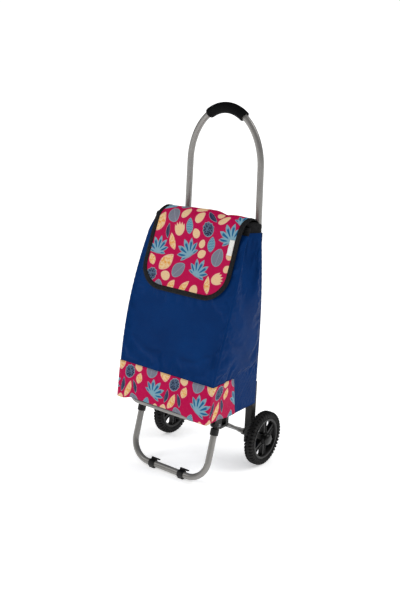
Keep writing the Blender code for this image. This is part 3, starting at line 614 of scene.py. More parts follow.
def turned_mesh(name, profile, place, steps=96, sharp=35):
    """A turned piece about an axis along X. The profile is (radius, x) and may close on itself."""
    bm = bmesh.new()
    rows = [[bm.verts.new(place + Vector((x, radius * math.cos(a), radius * math.sin(a))))
             for a in angles(steps)] for radius, x in profile]
    for a, b in zip(rows, rows[1:] + rows[:1]):
        for j in range(steps):
            bm.faces.new((a[j], a[(j + 1) % steps], b[(j + 1) % steps], b[j]))
    bmesh.ops.remove_doubles(bm, verts=bm.verts, dist=1e-6)
    bmesh.ops.dissolve_degenerate(bm, edges=bm.edges, dist=1e-7)
    bmesh.ops.recalc_face_normals(bm, faces=bm.faces)
    return mesh_of(bm, name, sharp)


def rounded(profile, radius):
    """The closed profile with each corner cut to an arc-like curve of about the radius."""
    made = []
    steps = 4
    count = len(profile)
    for k, corner in enumerate(profile):
        corner = Vector(corner)
        before = Vector(profile[k - 1]) - corner
        after = Vector(profile[(k + 1) % count]) - corner
        reach = min(radius, 0.45 * before.length, 0.45 * after.length)
        a, b = corner + before.normalized() * reach, corner + after.normalized() * reach
        for n in range(steps + 1):
            t = n / steps
            made.append(tuple((1 - t) ** 2 * a + 2 * t * (1 - t) * corner + t * t * b))
    return made


def ease(value, start, end):
    t = min(max((value - start) / (end - start), 0), 1)
    return t * t * (3 - 2 * t)


# ---- tubes and grip -----------------------------------------------------------------------------
def arch_point(angle):
    """Point on the handle's arch, the angle counted from its top."""
    return Vector((ARCH_HALF * math.sin(angle), HANDLE_Y,
                   HANDLE_TOP - ARCH_HEIGHT * (1 - math.cos(angle))))


def make_handle(paint, foam):
    leg_top = high("upright_right").z + 0.006
    arch = [arch_point(math.radians(a)) for a in range(-90, 91, 3)]
    left = [Vector((-SIDE_X, HANDLE_Y, z)) for z in (low("handle_tube").z, leg_top)]
    right = [Vector((-p.x, p.y, p.z)) for p in reversed(left)]
    mesh = tube_mesh("handle_tube_fine", even_line(left + arch + right, 0.006), TUBE_RADIUS, TUBE_WALL)
    add_piece("handle_tube_fine", mesh, "frame", ["handle_tube"], "grey_paint", paint)

    path = even_line([arch_point(GRIP_ANGLE * (k / 20 - 1)) for k in range(41)], 0.0015)
    length = sum((b - a).length for a, b in zip(path, path[1:]))

    def swell(share):
        """Full in the palm, tighter towards the ends, round at the left end and rolled at the right."""
        left_end = math.sqrt(max(1 - (1 - min(share * length / 0.007, 1)) ** 2, 0))
        right_end = math.sqrt(max(1 - (1 - min((1 - share) * length / 0.0025, 1)) ** 2, 0))
        full = GRIP_RADIUS - 0.0006 + 0.0006 * math.sin(math.pi * share) ** 0.5
        tight = TUBE_RADIUS + 0.0014
        return tight + (full - tight) * min(0.35 + 0.65 * left_end, 0.80 + 0.20 * right_end)

    mesh = tube_mesh("grip_fine", path, swell, 0.0012, 48)
    grip = add_piece("grip_fine", mesh, "frame", ["handle_grip"], "grip_foam", foam)


def make_u_tube(node, rear, front, bend, body, paint):
    """A U of tube: forwards on the left, across at the front and back on the right. rear and front are the
    (y, z) places of its ends and of its front bar."""
    ends = ((-SIDE_X, rear), (-SIDE_X, front), (SIDE_X, front), (SIDE_X, rear))
    path = rounded_path([(x, *end) for x, end in ends], bend, 0.005)
    name = node + "_fine"
    add_piece(name, tube_mesh(name, path, TUBE_RADIUS, TUBE_WALL), body, [node], "grey_paint", paint)


def make_platform_and_foot(paint):
    rear, front = (PLATFORM_REAR, PLATFORM_Z), (PLATFORM_FRONT, PLATFORM_Z)
    make_u_tube("platform_tube", rear, front, PLATFORM_BEND, "platform", paint)
    top = FOOT_PIVOT + (FOOT_BAR - FOOT_PIVOT).normalized() * 0.0185
    make_u_tube("foot_tube", top.yz, FOOT_BAR.yz, FOOT_BEND, "foot", paint)


# ---- wheels -------------------------------------------------------------------------------------
LUGS = 46
SPOKES = 6
HUB_RADIUS = 0.0165
RIM_RADIUS = 0.75 * WHEEL_RADIUS


def make_tyre(side, rubber):
    """Tyre with blocks on both shoulders, set half a pitch apart, and finer ribs between them."""
    where = "left" if side < 0 else "right"
    centre = Vector((side * WHEEL_X, AXLE.y, AXLE.z))
    steps = 8
    section = [(RIM_RADIUS - 0.0004, -0.70), (RIM_RADIUS + 0.0018, -0.76), (RIM_RADIUS + 0.0040, -0.78),
               (RIM_RADIUS + 0.0052, -0.90), (RIM_RADIUS + 0.0066, -0.97), (RIM_RADIUS + 0.0086, -0.97),
               (RIM_RADIUS + 0.0096, -0.91), (WHEEL_RADIUS - 0.0120, -0.90), (WHEEL_RADIUS - 0.0100, -0.98),
               (WHEEL_RADIUS - 0.0065, -1.0), (WHEEL_RADIUS - 0.0030, -0.92), (WHEEL_RADIUS - 0.0012, -0.78),
               (WHEEL_RADIUS - 0.0004, -0.58), (WHEEL_RADIUS - 0.0002, -0.40), (WHEEL_RADIUS, -0.30),
               (WHEEL_RADIUS, -0.12), (WHEEL_RADIUS, 0.0)]
    section += [(r, -x) for r, x in reversed(section[:-1])]
    section += [(RIM_RADIUS - 0.0004, 0.45), (RIM_RADIUS - 0.0004, -0.45)]

    def block(turn, phase):
        """1 on a block and 0 in the groove after it."""
        return ease(math.sin(turn * 2 * math.pi + phase), -0.35, 0.05)

    lug_foot, lug_top = WHEEL_RADIUS - 0.0125, WHEEL_RADIUS - 0.0065
    rings = []
    for k in range(LUGS * steps):
        turn = k / steps
        angle = 2 * math.pi * turn / LUGS
        ring = []
        for radius, across in section:
            x = across * WHEEL_HALF
            wide = abs(across)
            if radius > lug_foot:
                groove = 1 - block(turn, 0 if across > 0 else math.pi)
                if wide > 0.9:
                    x -= math.copysign(0.0009 * groove, across)
                if wide > 0.36:
                    radius -= 0.0050 * groove * ease(radius, lug_foot, lug_top)
                elif wide > 0.2:
                    radius -= 0.0020
                else:
                    radius -= 0.0012 * (1 - block(2 * turn, 0.5))
            ring.append(centre + Vector((x, radius * math.cos(angle), radius * math.sin(angle))))
        rings.append(ring)
    mesh = ring_mesh("tyre_fine_" + where, rings, closed_run=True, sharp=42)
    fix_normals(mesh)
    add_piece("tyre_fine_" + where, mesh, "wheel_" + where, ["tyre_" + where], "tyre_rubber", rubber)


def fix_normals(mesh):
    bm = bmesh.new()
    bm.from_mesh(mesh)
    bmesh.ops.recalc_face_normals(bm, faces=bm.faces)
    bm.to_mesh(mesh)
    bm.free()


def join_meshes(name, meshes, sharp=35):
    bm = bmesh.new()
    for mesh in meshes:
        bm.from_mesh(mesh)
        bpy.data.meshes.remove(mesh)
    return mesh_of(bm, name, sharp)


def spoke_mesh(name, centre, turn):
    """One spoke: a bar with raised edges, wider at the hub and where it runs into the rim."""
    stations = ((0.0135, 0.0092, 0.0088), (0.019, 0.0080, 0.0080), (0.027, 0.0070, 0.0072),
                (0.037, 0.0067, 0.0068), (0.046, 0.0076, 0.0068), (0.0535, 0.0108, 0.0074))
    lip, sink = 0.0018, 0.0022
    rings = []
    for reach, wide, thick in stations:
        half = [(-wide, -thick), (-wide + lip, -thick), (-wide + lip * 1.5, sink - thick)]
        half += [(-y, x) for y, x in reversed(half)]
        outline = half + [(-y, -x) for y, x in half]
        rings.append([centre + Matrix.Rotation(turn, 3, "X") @ Vector((x, y, reach)) for y, x in outline])
    mesh = ring_mesh(name, rings, caps=True, sharp=35)
    fix_normals(mesh)
    return mesh


def make_hub(side, plastic, cap_plastic):
    where = "left" if side < 0 else "right"
    centre = Vector((side * WHEEL_X, AXLE.y, AXLE.z))
    half = WHEEL_HALF
    outer = RIM_RADIUS - 0.0007
    rim = [(outer, -0.66 * half), (outer + 0.0016, -0.80 * half), (outer - 0.0006, -0.90 * half),
           (outer - 0.0052, -0.86 * half), (outer - 0.0066, -0.60 * half), (outer - 0.0082, -0.18 * half)]
    rim += [(r, -x) for r, x in reversed(rim)]
    bore = 0.0075
    barrel = half + 0.0012
    hub = [(bore, -barrel), (HUB_RADIUS - 0.002, -barrel), (HUB_RADIUS, 0.003 - barrel),
           (HUB_RADIUS + 0.0006, -0.5 * half)]
    hub += [(r, -x) for r, x in reversed(hub)]
    meshes = [turned_mesh("rim", rounded(rim, 0.0012), centre),
              turned_mesh("hub", rounded(hub, 0.0008), centre, 64)]
    meshes += [spoke_mesh("spoke", centre, turn) for turn in angles(SPOKES)]
    name = "wheel_hub_fine_" + where
    hub_mesh = join_meshes(name, meshes)
    add_piece(name, hub_mesh, "wheel_" + where, ["wheel_hub_" + where], "black_plastic", plastic)

    cap = "hub_cap_" + where
    face = min(abs(low(cap).x), abs(high(cap).x)) - WHEEL_X
    rise = high(cap).x - low(cap).x
    wall = 0.0028
    steps = 12
    turns = [math.pi / 2 * k / steps for k in range(steps)]
    dome = [(HUB_RADIUS * math.cos(t) ** 0.8, face + wall + (rise - wall) * math.sin(t)) for t in turns]
    inside = [(0, face + rise - wall), (0.0100, face + 0.0050), (0.0104, face)]
    profile = [(HUB_RADIUS, face), *dome, (0, face + rise), *inside]
    if side < 0:
        profile = [(r, -x) for r, x in profile]
    name = "hub_cap_fine_" + where
    mesh = turned_mesh(name, profile, centre, 64, 40)
    add_piece(name, mesh, "wheel_" + where, [cap], "black_plastic", cap_plastic)


# ---- CAD nodes that keep their shape ------------------------------------------------------------
def dress(node, material, edge=0.0):
    """Gives a CAD node its material, and a small round on its edges."""
    obj = frame["nodes"][node]
    obj.data.materials.clear()
    obj.data.materials.append(material)
    if edge:
        soft = obj.modifiers.new("soft_edges", "BEVEL")
        soft.width = edge
        soft.segments = 2
        soft.limit_method = "ANGLE"
        soft.angle_limit = math.radians(40)


def dress_hardware(paint, plastic, steel, webbing):
    for node in frame["nodes"]:
        if "rivet" in node or "_pin_" in node or node.startswith(("axle_rod", "axle_push", "wheel_bush")):
            dress(node, steel)
        elif node.startswith(("upright_", "foot_joint_", "axle_spacer", "arm_end", "foot_collar", "foot_clip",
                              "stay_snap")):
            dress(node, plastic, edge=0.0004)
        elif node in ("stay_left", "stay_right"):
            dress(node, paint)
        elif node.startswith("bag_loop"):
            dress(node, webbing, edge=0.0006)


# ---- bag ----------------------------------------------------------------------------------------
def bag_shape():
    """Smooth functions of the height z for the bag's half width, front y and rear y, fitted to the CAD bag's
    outer rings."""
    points = [v.co for v in frame["nodes"]["bag_body"].data.vertices]
    rings = 8
    levels = [BAG_FLOOR + (BAG_RIM - BAG_FLOOR) * k / (rings - 1) for k in range(rings)]
    near = [[p for p in points if abs(p.z - z) < 0.004] for z in levels]
    rows = [(max(p.x for p in n), min(p.y for p in n), max(p.y for p in n)) for n in near]
    return [np.poly1d(np.polyfit(levels, column, 4)) for column in zip(*rows)]


bag_half, bag_front, bag_rear = bag_shape()
FRONT_COLUMNS = 44
SIDE_COLUMNS = 30
CORNER_COLUMNS = 4
FRONT_CORNER = 0.0042
REAR_CORNER = 0.0080


def side_fold(share, z):
    """How far the side is folded inwards: a gusset that deepens towards the mouth, with its crease nearer to
    the front. Share 0 is the front corner and 1 the rear one."""
    depth = 0.034 * ease(z, BAG_RIM - 0.250, BAG_RIM - 0.010)
    crease = 0.30
    if share < crease:
        return depth * ease(share / crease, 0.12, 1.0) ** 0.8
    return depth * ((1 - share) / (1 - crease)) ** 1.15


def side_creases(share, z):
    """Two pressed creases low on the side, where the flat bag was folded."""
    made = 0.0
    for line, depth, z0, z1 in ((0.30, 0.0026, 0.275, 0.365), (0.40, 0.0016, 0.265, 0.345)):
        drift = line + 0.10 * (z - 0.30)
        fade = ease(z, z0, z0 + 0.03) * (1 - ease(z, z1 - 0.03, z1))
        made += depth * fade * math.exp(-((share - drift) / 0.035) ** 2)
    return made


def hem_sag(p, share, across, z):
    """How far the bag's lower edge hangs below its floor: along the sides and round the rear corners, outside
    the platform's arms."""
    if across > 0.97:
        amount = ease(share, 0.02, 0.45)
    elif share > 0.5:
        amount = ease(abs(p.x), 0.142, 0.152)
    else:
        amount = 0.0
    return 0.0145 * amount * (1 - ease(z, BAG_FLOOR, BAG_FLOOR + 0.05))


def bag_outline(z):
    """Points round the bag at a height, from the front's left end: front, right side, rear and left side,
    with round corners."""
    half, rear = bag_half(z), bag_rear(z)
    front = bag_front(z) + 0.011 * ease(z, BAG_RIM - 0.045, BAG_RIM)
    points = []

    def run(a, b, columns):
        return [a.lerp(b, k / columns) for k in range(columns + 1)]

    def corner(centre, radius, start):
        return [centre + radius * Vector((math.cos(t), math.sin(t))) for t in
                (start + math.pi / 2 * k / CORNER_COLUMNS for k in range(1, CORNER_COLUMNS))]

    f, r = FRONT_CORNER, REAR_CORNER
    points += run(Vector((-half + f, front)), Vector((half - f, front)), FRONT_COLUMNS)
    points += corner(Vector((half - f, front + f)), f, -math.pi / 2)
    points += run(Vector((half, front + f)), Vector((half, rear - r)), SIDE_COLUMNS)
    points += corner(Vector((half - r, rear - r)), r, 0)
    points += run(Vector((half - r, rear)), Vector((-half + r, rear)), FRONT_COLUMNS)
    points += corner(Vector((-half + r, rear - r)), r, math.pi / 2)
    points += run(Vector((-half, rear - r)), Vector((-half, front + f)), SIDE_COLUMNS)
    points += corner(Vector((-half + f, front + f)), f, math.pi)
    shaped = []
    for p in points:
        share = (p.y - front) / (rear - front)
        across = abs(p.x) / half
        if across > 0.97 and 0 < share < 1:
            inward = side_fold(share, z) + side_creases(share, z)
            p = Vector((p.x - math.copysign(inward, p.x), p.y))
        elif share < 0.03:
            above_band = ease(z, BAND_HIGH, BAND_HIGH + 0.08)
            below_flap = 1 - ease(z, FLAP_LOW - 0.02, FLAP_LOW + 0.10)
            swell = 0.0035 * above_band * below_flap
            p = Vector((p.x, p.y - swell * (1 - across ** 2)))
        shaped.append(Vector((p.x, p.y, z - hem_sag(p, share, across, z))))
    return shaped


class Surface:
    """A skin known by a grid of points, read anywhere between them."""

    def __init__(self, points):
        self.points = points

    def row_of(self, z):
        """Row of the grid that was laid out at a height."""
        return (z - BAG_FLOOR) / (BLUE_TOP - BAG_FLOOR) * (len(self.points) - 1)

    def at(self, row, column):
        """Point at a row and column, with the share of each neighbour."""
        rows, columns, _ = self.points.shape
        i = min(max(math.floor(row), 0), rows - 2)
        j = math.floor(column)
        t, s = row - i, column - j
        a, b = self.points[i, j % columns], self.points[i, (j + 1) % columns]
        c, d = self.points[i + 1, j % columns], self.points[i + 1, (j + 1) % columns]
        return Vector((a * (1 - s) + b * s) * (1 - t) + (c * (1 - s) + d * s) * t)

    def lifted(self, row, column, lift):
        step = 0.6
        up = self.at(row + step, column) - self.at(row - step, column)
        round_it = self.at(row, column + step) - self.at(row, column - step)
        return self.at(row, column) + round_it.cross(up).normalized() * lift


def pinned_share(i, j, rows, outline):
    """How firmly a point of the bag is held while the cloth settles: wholly at the floor and the rim, firmly
    behind, under the flap and at the seams, and loosely on the open panels."""
    z = BAG_FLOOR + (BLUE_TOP - BAG_FLOOR) * i / (rows - 1)
    p = outline[j]
    half, front, rear = bag_half(z), bag_front(z), bag_rear(z)
    if i <= 1 or i >= rows - 2:
        return 1.0
    if p.y > rear - 0.006:
        return 0.95
    if abs(p.x) > half - 0.006 and (p.y < front + 0.008 or p.y > rear - 0.012):
        return 0.9
    low_down = 1 - ease(z, BAND_HIGH - 0.03, BAND_HIGH + 0.03)
    faces_flap = p.y < front + 0.004 and abs(p.x) < FLAP_HALF
    under_flap = ease(z, FLAP_LOW - 0.01, FLAP_LOW + 0.03) if faces_flap else 0
    return 0.85 * max(low_down, under_flap)


def settle_cloth(obj, weights, frames, growth, cap):
    """Lets the cloth buckle for some frames from a slightly too large cut, then keeps that shape. No point
    moves further than the cap."""
    start = np.array([v.co for v in obj.data.vertices])
    group = obj.vertex_groups.new(name="held")
    for index, weight in enumerate(weights):
        if weight > 0:
            group.add([index], weight, "REPLACE")
    cloth = obj.modifiers.new("cloth", "CLOTH")
    settings = cloth.settings
    settings.quality = 5
    settings.mass = 0.15
    settings.tension_stiffness = 18
    settings.compression_stiffness = 18
    settings.shear_stiffness = 8
    settings.bending_stiffness = 1.6
    settings.air_damping = 3
    settings.pin_stiffness = 2
    settings.shrink_min = -growth
    settings.vertex_group_mass = "held"
    settings.effector_weights.gravity = 0.35
    cloth.collision_settings.use_collision = False
    cloth.collision_settings.use_self_collision = False
    cloth.point_cache.frame_start = 1
    cloth.point_cache.frame_end = frames
    scene = bpy.context.scene
    for number in range(1, frames + 1):
        scene.frame_set(number)
    graph = bpy.context.evaluated_depsgraph_get()
    settled = np.array([v.co for v in obj.evaluated_get(graph).data.vertices])
    obj.modifiers.remove(cloth)
    obj.vertex_groups.remove(group)
    scene.frame_set(1)
    move = settled - start
    length = np.linalg.norm(move, axis=1, keepdims=True)
    move *= np.minimum(1, cap / np.maximum(length, 1e-9))
    obj.data.vertices.foreach_set("co", (start + move).astype(np.float32).ravel())
    obj.data.update()
    return start + move


def make_bag_body(blue, lining):
    """The bag's blue cloth: four panels and a floor, in one skin."""
    rows = 62
    outlines = [bag_outline(BAG_FLOOR + (BLUE_TOP - BAG_FLOOR) * i / (rows - 1)) for i in range(rows)]
    columns = len(outlines[0])
    around = lengths_round(outlines[20])

    def cloth_uv(i, j):
        return around[j], (BLUE_TOP - BAG_FLOOR) * i / (rows - 1)

    mesh = ring_mesh("bag_cloth", outlines, uv=cloth_uv)
    piece = bpy.data.objects.new("bag_cloth", mesh)
    bpy.context.scene.collection.objects.link(piece)
    weights = [pinned_share(i, j, rows, outlines[i]) for i in range(rows) for j in range(columns)]
    points = settle_cloth(piece, weights, frames=22, growth=0.022, cap=0.0075)
    bpy.data.objects.remove(piece)
    bpy.data.meshes.remove(mesh)
    surface = Surface(points.reshape(rows, columns, 3))

    fine = finer(surface.points)
    bm = bmesh.new()
    layer = bm.loops.layers.uv.new("cloth")
    grid = [[bm.verts.new(p) for p in row] for row in fine]
    round_it = len(grid[0])
    for i in range(len(grid) - 1):
        for j in range(round_it):
            corners = ((i, j), (i, j + 1), (i + 1, j + 1), (i + 1, j))
            face = bm.faces.new([grid[a][b % round_it] for a, b in corners])
            for loop, (a, b) in zip(face.loops, corners):
                along = np.interp(b / 2, range(columns + 1), around)
                loop[layer].uv = (along, (BLUE_TOP - BAG_FLOOR) * a / 2 / (rows - 1))
    centre = Vector((0, fine[0][:, 1].mean(), BAG_FLOOR))
    ring = grid[0]
    floor = []
    for share, drop in ((0.985, None), (0.93, 0.0012), (0.7, 0.0008), (0.4, 0.0004), (0.12, 0.0)):
        inner = []
        for p in fine[0]:
            at = centre.lerp(Vector(p), share)
            if drop is not None:
                at.z = BAG_FLOOR - drop
            inner.append(bm.verts.new(at))
        floor += [bm.faces.new((ring[j - 1], inner[j - 1], inner[j], ring[j])) for j in range(round_it)]
        ring = inner
    floor.append(bm.faces.new(list(reversed(ring))))
    for face in floor:
        for loop in face.loops:
            loop[layer].uv = loop.vert.co.xy
    bmesh.ops.recalc_face_normals(bm, faces=bm.faces)
    mesh = mesh_of(bm, "bag_cloth")
    piece = add_piece("bag_cloth", mesh, "frame", ["bag_body"], "blue_fabric", blue, lining)
    thicken(piece, 0.0009, -1, 1)
    return piece, surface


def finer(points):
    """The grid with a smooth new point between each two, round the closed rows and then up the columns."""
    after, before, beyond = (np.roll(points, step, axis=1) for step in (-1, 1, -2))
    rows, columns, _ = points.shape
    wide = np.empty((rows, 2 * columns, 3))
    wide[:, 0::2] = points
    wide[:, 1::2] = (9 * (points + after) - before - beyond) / 16
    tall = np.empty((2 * rows - 1, 2 * columns, 3))
    tall[0::2] = wide
    tall[1::2] = (wide[:-1] + wide[1:]) / 2
    tall[3:-3:2] = (9 * (wide[1:-2] + wide[2:-1]) - wide[:-3] - wide[3:]) / 16
    return tall


def thicken(piece, amount, offset, inside_material=0):
    wall = piece.modifiers.new("thickness", "SOLIDIFY")
    wall.thickness = amount
    wall.offset = offset
    wall.material_offset = inside_material
    wall.use_even_offset = False


def make_collar(tape):
    """Black edge of the mouth: a folded strip with a rolled hem, sewn inside the blue cloth."""
    foot = BLUE_TOP + 0.004
    section = ((BLUE_TOP - 0.006, -0.0012), (BLUE_TOP, -0.0007), (foot, -0.0001),
               (COLLAR_TOP - 0.009, 0.0002), (COLLAR_TOP - 0.008, 0.0010), (COLLAR_TOP - 0.002, 0.0012),
               (COLLAR_TOP, 0.0), (COLLAR_TOP - 0.001, -0.0018), (COLLAR_TOP - 0.008, -0.0024),
               (COLLAR_TOP - 0.009, -0.0018), (BLUE_TOP - 0.006, -0.0024))
    rings = []
    for z, out in section:
        outline = bag_outline(min(z, BAG_RIM + 0.004))
        count = len(outline)
        front, rear = min(p.y for p in outline), max(p.y for p in outline)
        ring = []
        for j, p in enumerate(outline):
            ahead, behind = outline[(j + 1) % count], outline[j - 1]
            along = (ahead - behind).normalized()
            share = (p.y - front) / (rear - front)
            tall = 0.010 * math.sin(math.pi * share) ** 0.8 if 0 < share < 1 else 0
            hem = ease(share, 0.93, 1.0) * ease(FLAP_HALF - abs(p.x), -0.004, 0.010)
            tall += hem * (FLAP_HEM.z + 0.0002 - COLLAR_TOP)
            rise = tall * max(z - foot, 0) / (COLLAR_TOP - foot)
            ring.append(Vector((p.x, p.y, z + rise)) + along.cross(Vector((0, 0, 1))) * out)
        rings.append(ring)
    lengths = lengths_round(rings[0])

    def cloth_uv(i, j):
        return lengths[j], section[i % len(section)][0]

    mesh = ring_mesh("collar_cloth", rings, closed_run=True, uv=cloth_uv)
    fix_normals(mesh)
    return add_piece("collar_cloth", mesh, "frame", ["bag_collar"], "black_fabric", tape)


def make_board(card):
    """The stiff board on the bag's floor, with round corners."""
    start, end = low("base_board"), high("base_board")
    corner = 0.012
    left, right, front, rear = start.x + corner, end.x - corner, start.y + corner, end.y - corner
    outline = []
    for quarter, place in enumerate(((right, rear), (left, rear), (left, front), (right, front))):
        for k in range(7):
            angle = math.pi / 2 * (quarter + k / 6)
            outline.append(Vector(place) + corner * Vector((math.cos(angle), math.sin(angle))))
    centre = ((start + end) / 2).xy
    edge = 0.0006
    rings = []
    for share, z in ((0.985, start.z), (1.0, start.z + edge), (1.0, end.z - edge), (0.985, end.z)):
        rings.append([Vector((*centre.lerp(p, share), z)) for p in outline])
    mesh = ring_mesh("board_fine", rings, caps=True, sharp=40)
    fix_normals(mesh)
    return add_piece("board_fine", mesh, "frame", ["base_board"], "black_plastic", card)


# ---- print --------------------------------------------------------------------------------------
def leaf_outline(kind):
    """Outline of a leaf of length 1, its stalk at (0, -0.5) and its tip at (0, 0.5)."""
    if kind == "sky":
        points = []
        steps = 10 * FINGERS
        for k in range(steps + 1):
            angle = HAND_SPREAD * (2 * k / steps - 1)
            phase = angle * FINGERS / (2 * HAND_SPREAD)
            lobe = (1 - 2 * abs(phase - round(phase))) ** 0.7
            reach = (0.38 + 0.54 * math.cos(angle * 0.8)) * (0.54 + 0.46 * lobe)
            points.append((reach * math.sin(angle), reach * math.cos(angle) - HAND_ROOT))
        return points[::-1] + [(-0.02, -0.5), (0.02, -0.5)]
    if kind == "tulip":
        cup = [(0.38 * math.cos(t), 0.10 + 0.54 * math.sin(t)) for t in
               (math.pi + math.pi * k / 24 for k in range(25))]
        crown = [(0.37, 0.32), (0.27, 0.22), (0.20, 0.44), (0.09, 0.28), (0.0, 0.50)]
        crown += [(-x, y) for x, y in reversed(crown[:-1])]
        return [point for a, b in zip(cup + crown, cup[1:] + crown + cup[:1])
                for point in (a, ((a[0] + b[0]) / 2, (a[1] + b[1]) / 2))]
    if kind == "navy":
        teeth = 11
        points = []
        steps = 8 * teeth
        for k in range(steps):
            angle = 2 * math.pi * k / steps
            saw = abs((k / steps * 2 * teeth) % 2 - 1)
            crown = ease(-math.cos(angle), -0.8, 0.4)
            scale = 0.94 + 0.12 * crown * (saw - 0.3)
            points.append((0.38 * math.sin(angle) * scale, -0.46 * math.cos(angle) * scale))
        return points
    wide, blunt, lean = {"ochre": (0.30, 0.80, 0.0), "slate": (0.36, 0.62, 0.04), "round": (0.40, 0.56, 0.0),
                         "teal": (0.28, 0.72, 0.0), "slim": (0.15, 0.85, 0.05), "petal": (0.19, 0.80, 0.06),
                         "drop": (0.34, 0.60, -0.05)}[kind]
    steps = 22
    right = []
    for k in range(steps + 1):
        t = k / steps
        belly = math.sin(math.pi * t ** 0.9) ** blunt
        right.append((wide * belly, t - 0.5))
    left = [(-x, y) for x, y in reversed(right[1:-1])]
    return [(x + lean * math.sin(math.pi * (y + 0.5)), y) for x, y in right + left]


KINDS = (("sky", 0.054), ("slate", 0.050), ("ochre", 0.058), ("round", 0.032), ("navy", 0.046),
         ("petal", 0.050), ("tulip", 0.043), ("sky", 0.050), ("slim", 0.042), ("slate", 0.044),
         ("teal", 0.042), ("drop", 0.036), ("round", 0.029), ("ochre", 0.036), ("round", 0.025))
INKS = {"sky": 1, "slate": 2, "ochre": 3, "petal": 3, "round": 4, "tulip": 4, "drop": 4, "navy": 5, "slim": 6,
        "teal": 7}
BLUISH = ("sky", "slate", "navy", "slim", "teal")
EDGE_INK = 8
SHAPES = {kind: np.array(leaf_outline(kind)) for kind in INKS}
TRIES = 110
FAR = 9.0      # gap of a leaf that has no neighbour


def gap_between(a, b):
    """Least distance between two leaves' outlines, or a negative number where one lies in the other."""
    apart = np.linalg.norm(a["points"][:, None] - b["points"][None], axis=2).min()
    if inside(a["centre"], b["points"]) or inside(b["centre"], a["points"]):
        return -1.0
    return apart


def make_leaf(kind, length, centre, angle):
    shape = SHAPES[kind]
    turn = np.array(((math.cos(angle), -math.sin(angle)), (math.sin(angle), math.cos(angle))))
    reach = length * np.linalg.norm(shape, axis=1).max()
    return {"kind": kind, "centre": centre, "angle": angle, "length": length, "reach": reach,
            "points": shape @ turn.T * length + np.array(centre)}


def scatter_leaves(width, height, seed, upright=0.0, spare=0.0034):
    """Leaves strewn close together over a rectangle, each kind in turn. Of a few places where a leaf would
    touch no other, it takes the one nearest to its neighbours."""
    draw = random.Random(seed)
    placed = []
    skipped = 0
    turn = 0
    while skipped < len(KINDS):
        kind, length = KINDS[turn % len(KINDS)]
        turn += 1
        best = None
        for _ in range(TRIES):
            centre = Vector((draw.uniform(0, width), draw.uniform(0, height)))
            leaf = make_leaf(kind, length * draw.uniform(0.94, 1.04), centre, upright + draw.gauss(0, 0.55))
            gaps = [FAR]
            for other in placed:
                distance = (other["centre"] - centre).length
                if distance < leaf["reach"] + other["reach"] + 0.012:
                    gaps.append(gap_between(leaf, other))
                    if gaps[-1] < spare:
                        break
            if min(gaps) < spare:
                continue
            slack = sum(sorted(gaps)[:3]) / min(len(gaps), 3)
            if best is None or slack < best[0]:
                best = (slack, leaf)
        if best:
            placed.append(best[1])
            skipped = 0
        else:
            skipped += 1
    return placed


def moved_leaf(leaf, shift):
    return make_leaf(leaf["kind"], leaf["length"], leaf["centre"] + shift, leaf["angle"])


def inside(point, polygon):
    """Even-odd test of a point in a polygon, given as an array of points."""
    after = np.roll(polygon, -1, axis=0)
    spans = (polygon[:, 1] > point[1]) != (after[:, 1] > point[1])
    start, end = polygon[spans], after[spans]
    crossing = (end[:, 0] - start[:, 0]) * (point[1] - start[:, 1]) / (end[:, 1] - start[:, 1]) + start[:, 0]
    return bool(np.count_nonzero(point[0] < crossing) % 2)


def printed_mesh(name, outline, leaves, place, spacing, flip):
    """Cloth cut to the outline in its own flat coordinates, each leaf's faces in that leaf's ink. place(x, y)
    gives the point in space of the flat point."""
    coords = [Vector(p) for p in outline]
    if sum(a.cross(b) for a, b in zip(coords, coords[1:] + coords[:1])) < 0:
        coords.reverse()
    faces = [list(range(len(coords)))]
    owners = [None]
    for leaf in leaves:
        for share in (1.0, 0.90):
            first = len(coords)
            coords += [leaf["centre"] + (Vector(p) - leaf["centre"]) * share for p in leaf["points"]]
            faces.append(list(range(first, len(coords))))
            owners.append((leaf, share))
    flat_outline = np.array([tuple(p) for p in outline])
    start, size = flat_outline.min(axis=0), np.ptp(flat_outline, axis=0)
    counts = (size / spacing).astype(int)
    for i in range(1, counts[0]):
        for j in range(1, counts[1]):
            p = Vector(start + size * (i, j) / counts)
            if inside(p, flat_outline):
                coords.append(p)
    points, _, triangles, _, _, sources = delaunay_2d_cdt(coords, [], faces, 1, 1e-6, True)
    bm = bmesh.new()
    cloth = bm.loops.layers.uv.new("cloth")
    own = bm.loops.layers.uv.new("leaf")
    edge = bm.loops.layers.uv.new("edge")
    kept = [k for k, found in enumerate(sources) if 0 in found]
    used = sorted({n for k in kept for n in triangles[k]})
    verts = {n: bm.verts.new(place(points[n].x, points[n].y)) for n in used}
    for k in kept:
        corners = triangles[k][::-1] if flip else triangles[k]
        try:
            face = bm.faces.new([verts[n] for n in corners])
        except ValueError:      # a triangle with the same corners is there already
            continue
        holders = [owners[n] for n in sources[k] if owners[n]]
        leaf = holders[0][0] if holders else None
        if leaf:
            inner = any(share < 1 for _, share in holders)
            face.material_index = INKS[leaf["kind"]] if inner else EDGE_INK
        for loop, n in zip(face.loops, corners):
            p = points[n]
            loop[cloth].uv = p
            if leaf:
                loop[own].uv = Matrix.Rotation(-leaf["angle"], 2) @ (p - leaf["centre"]) / leaf["length"]
                loop[edge].uv = (1 if leaf["kind"] in BLUISH else 0, 0)
    return mesh_of(bm, name)


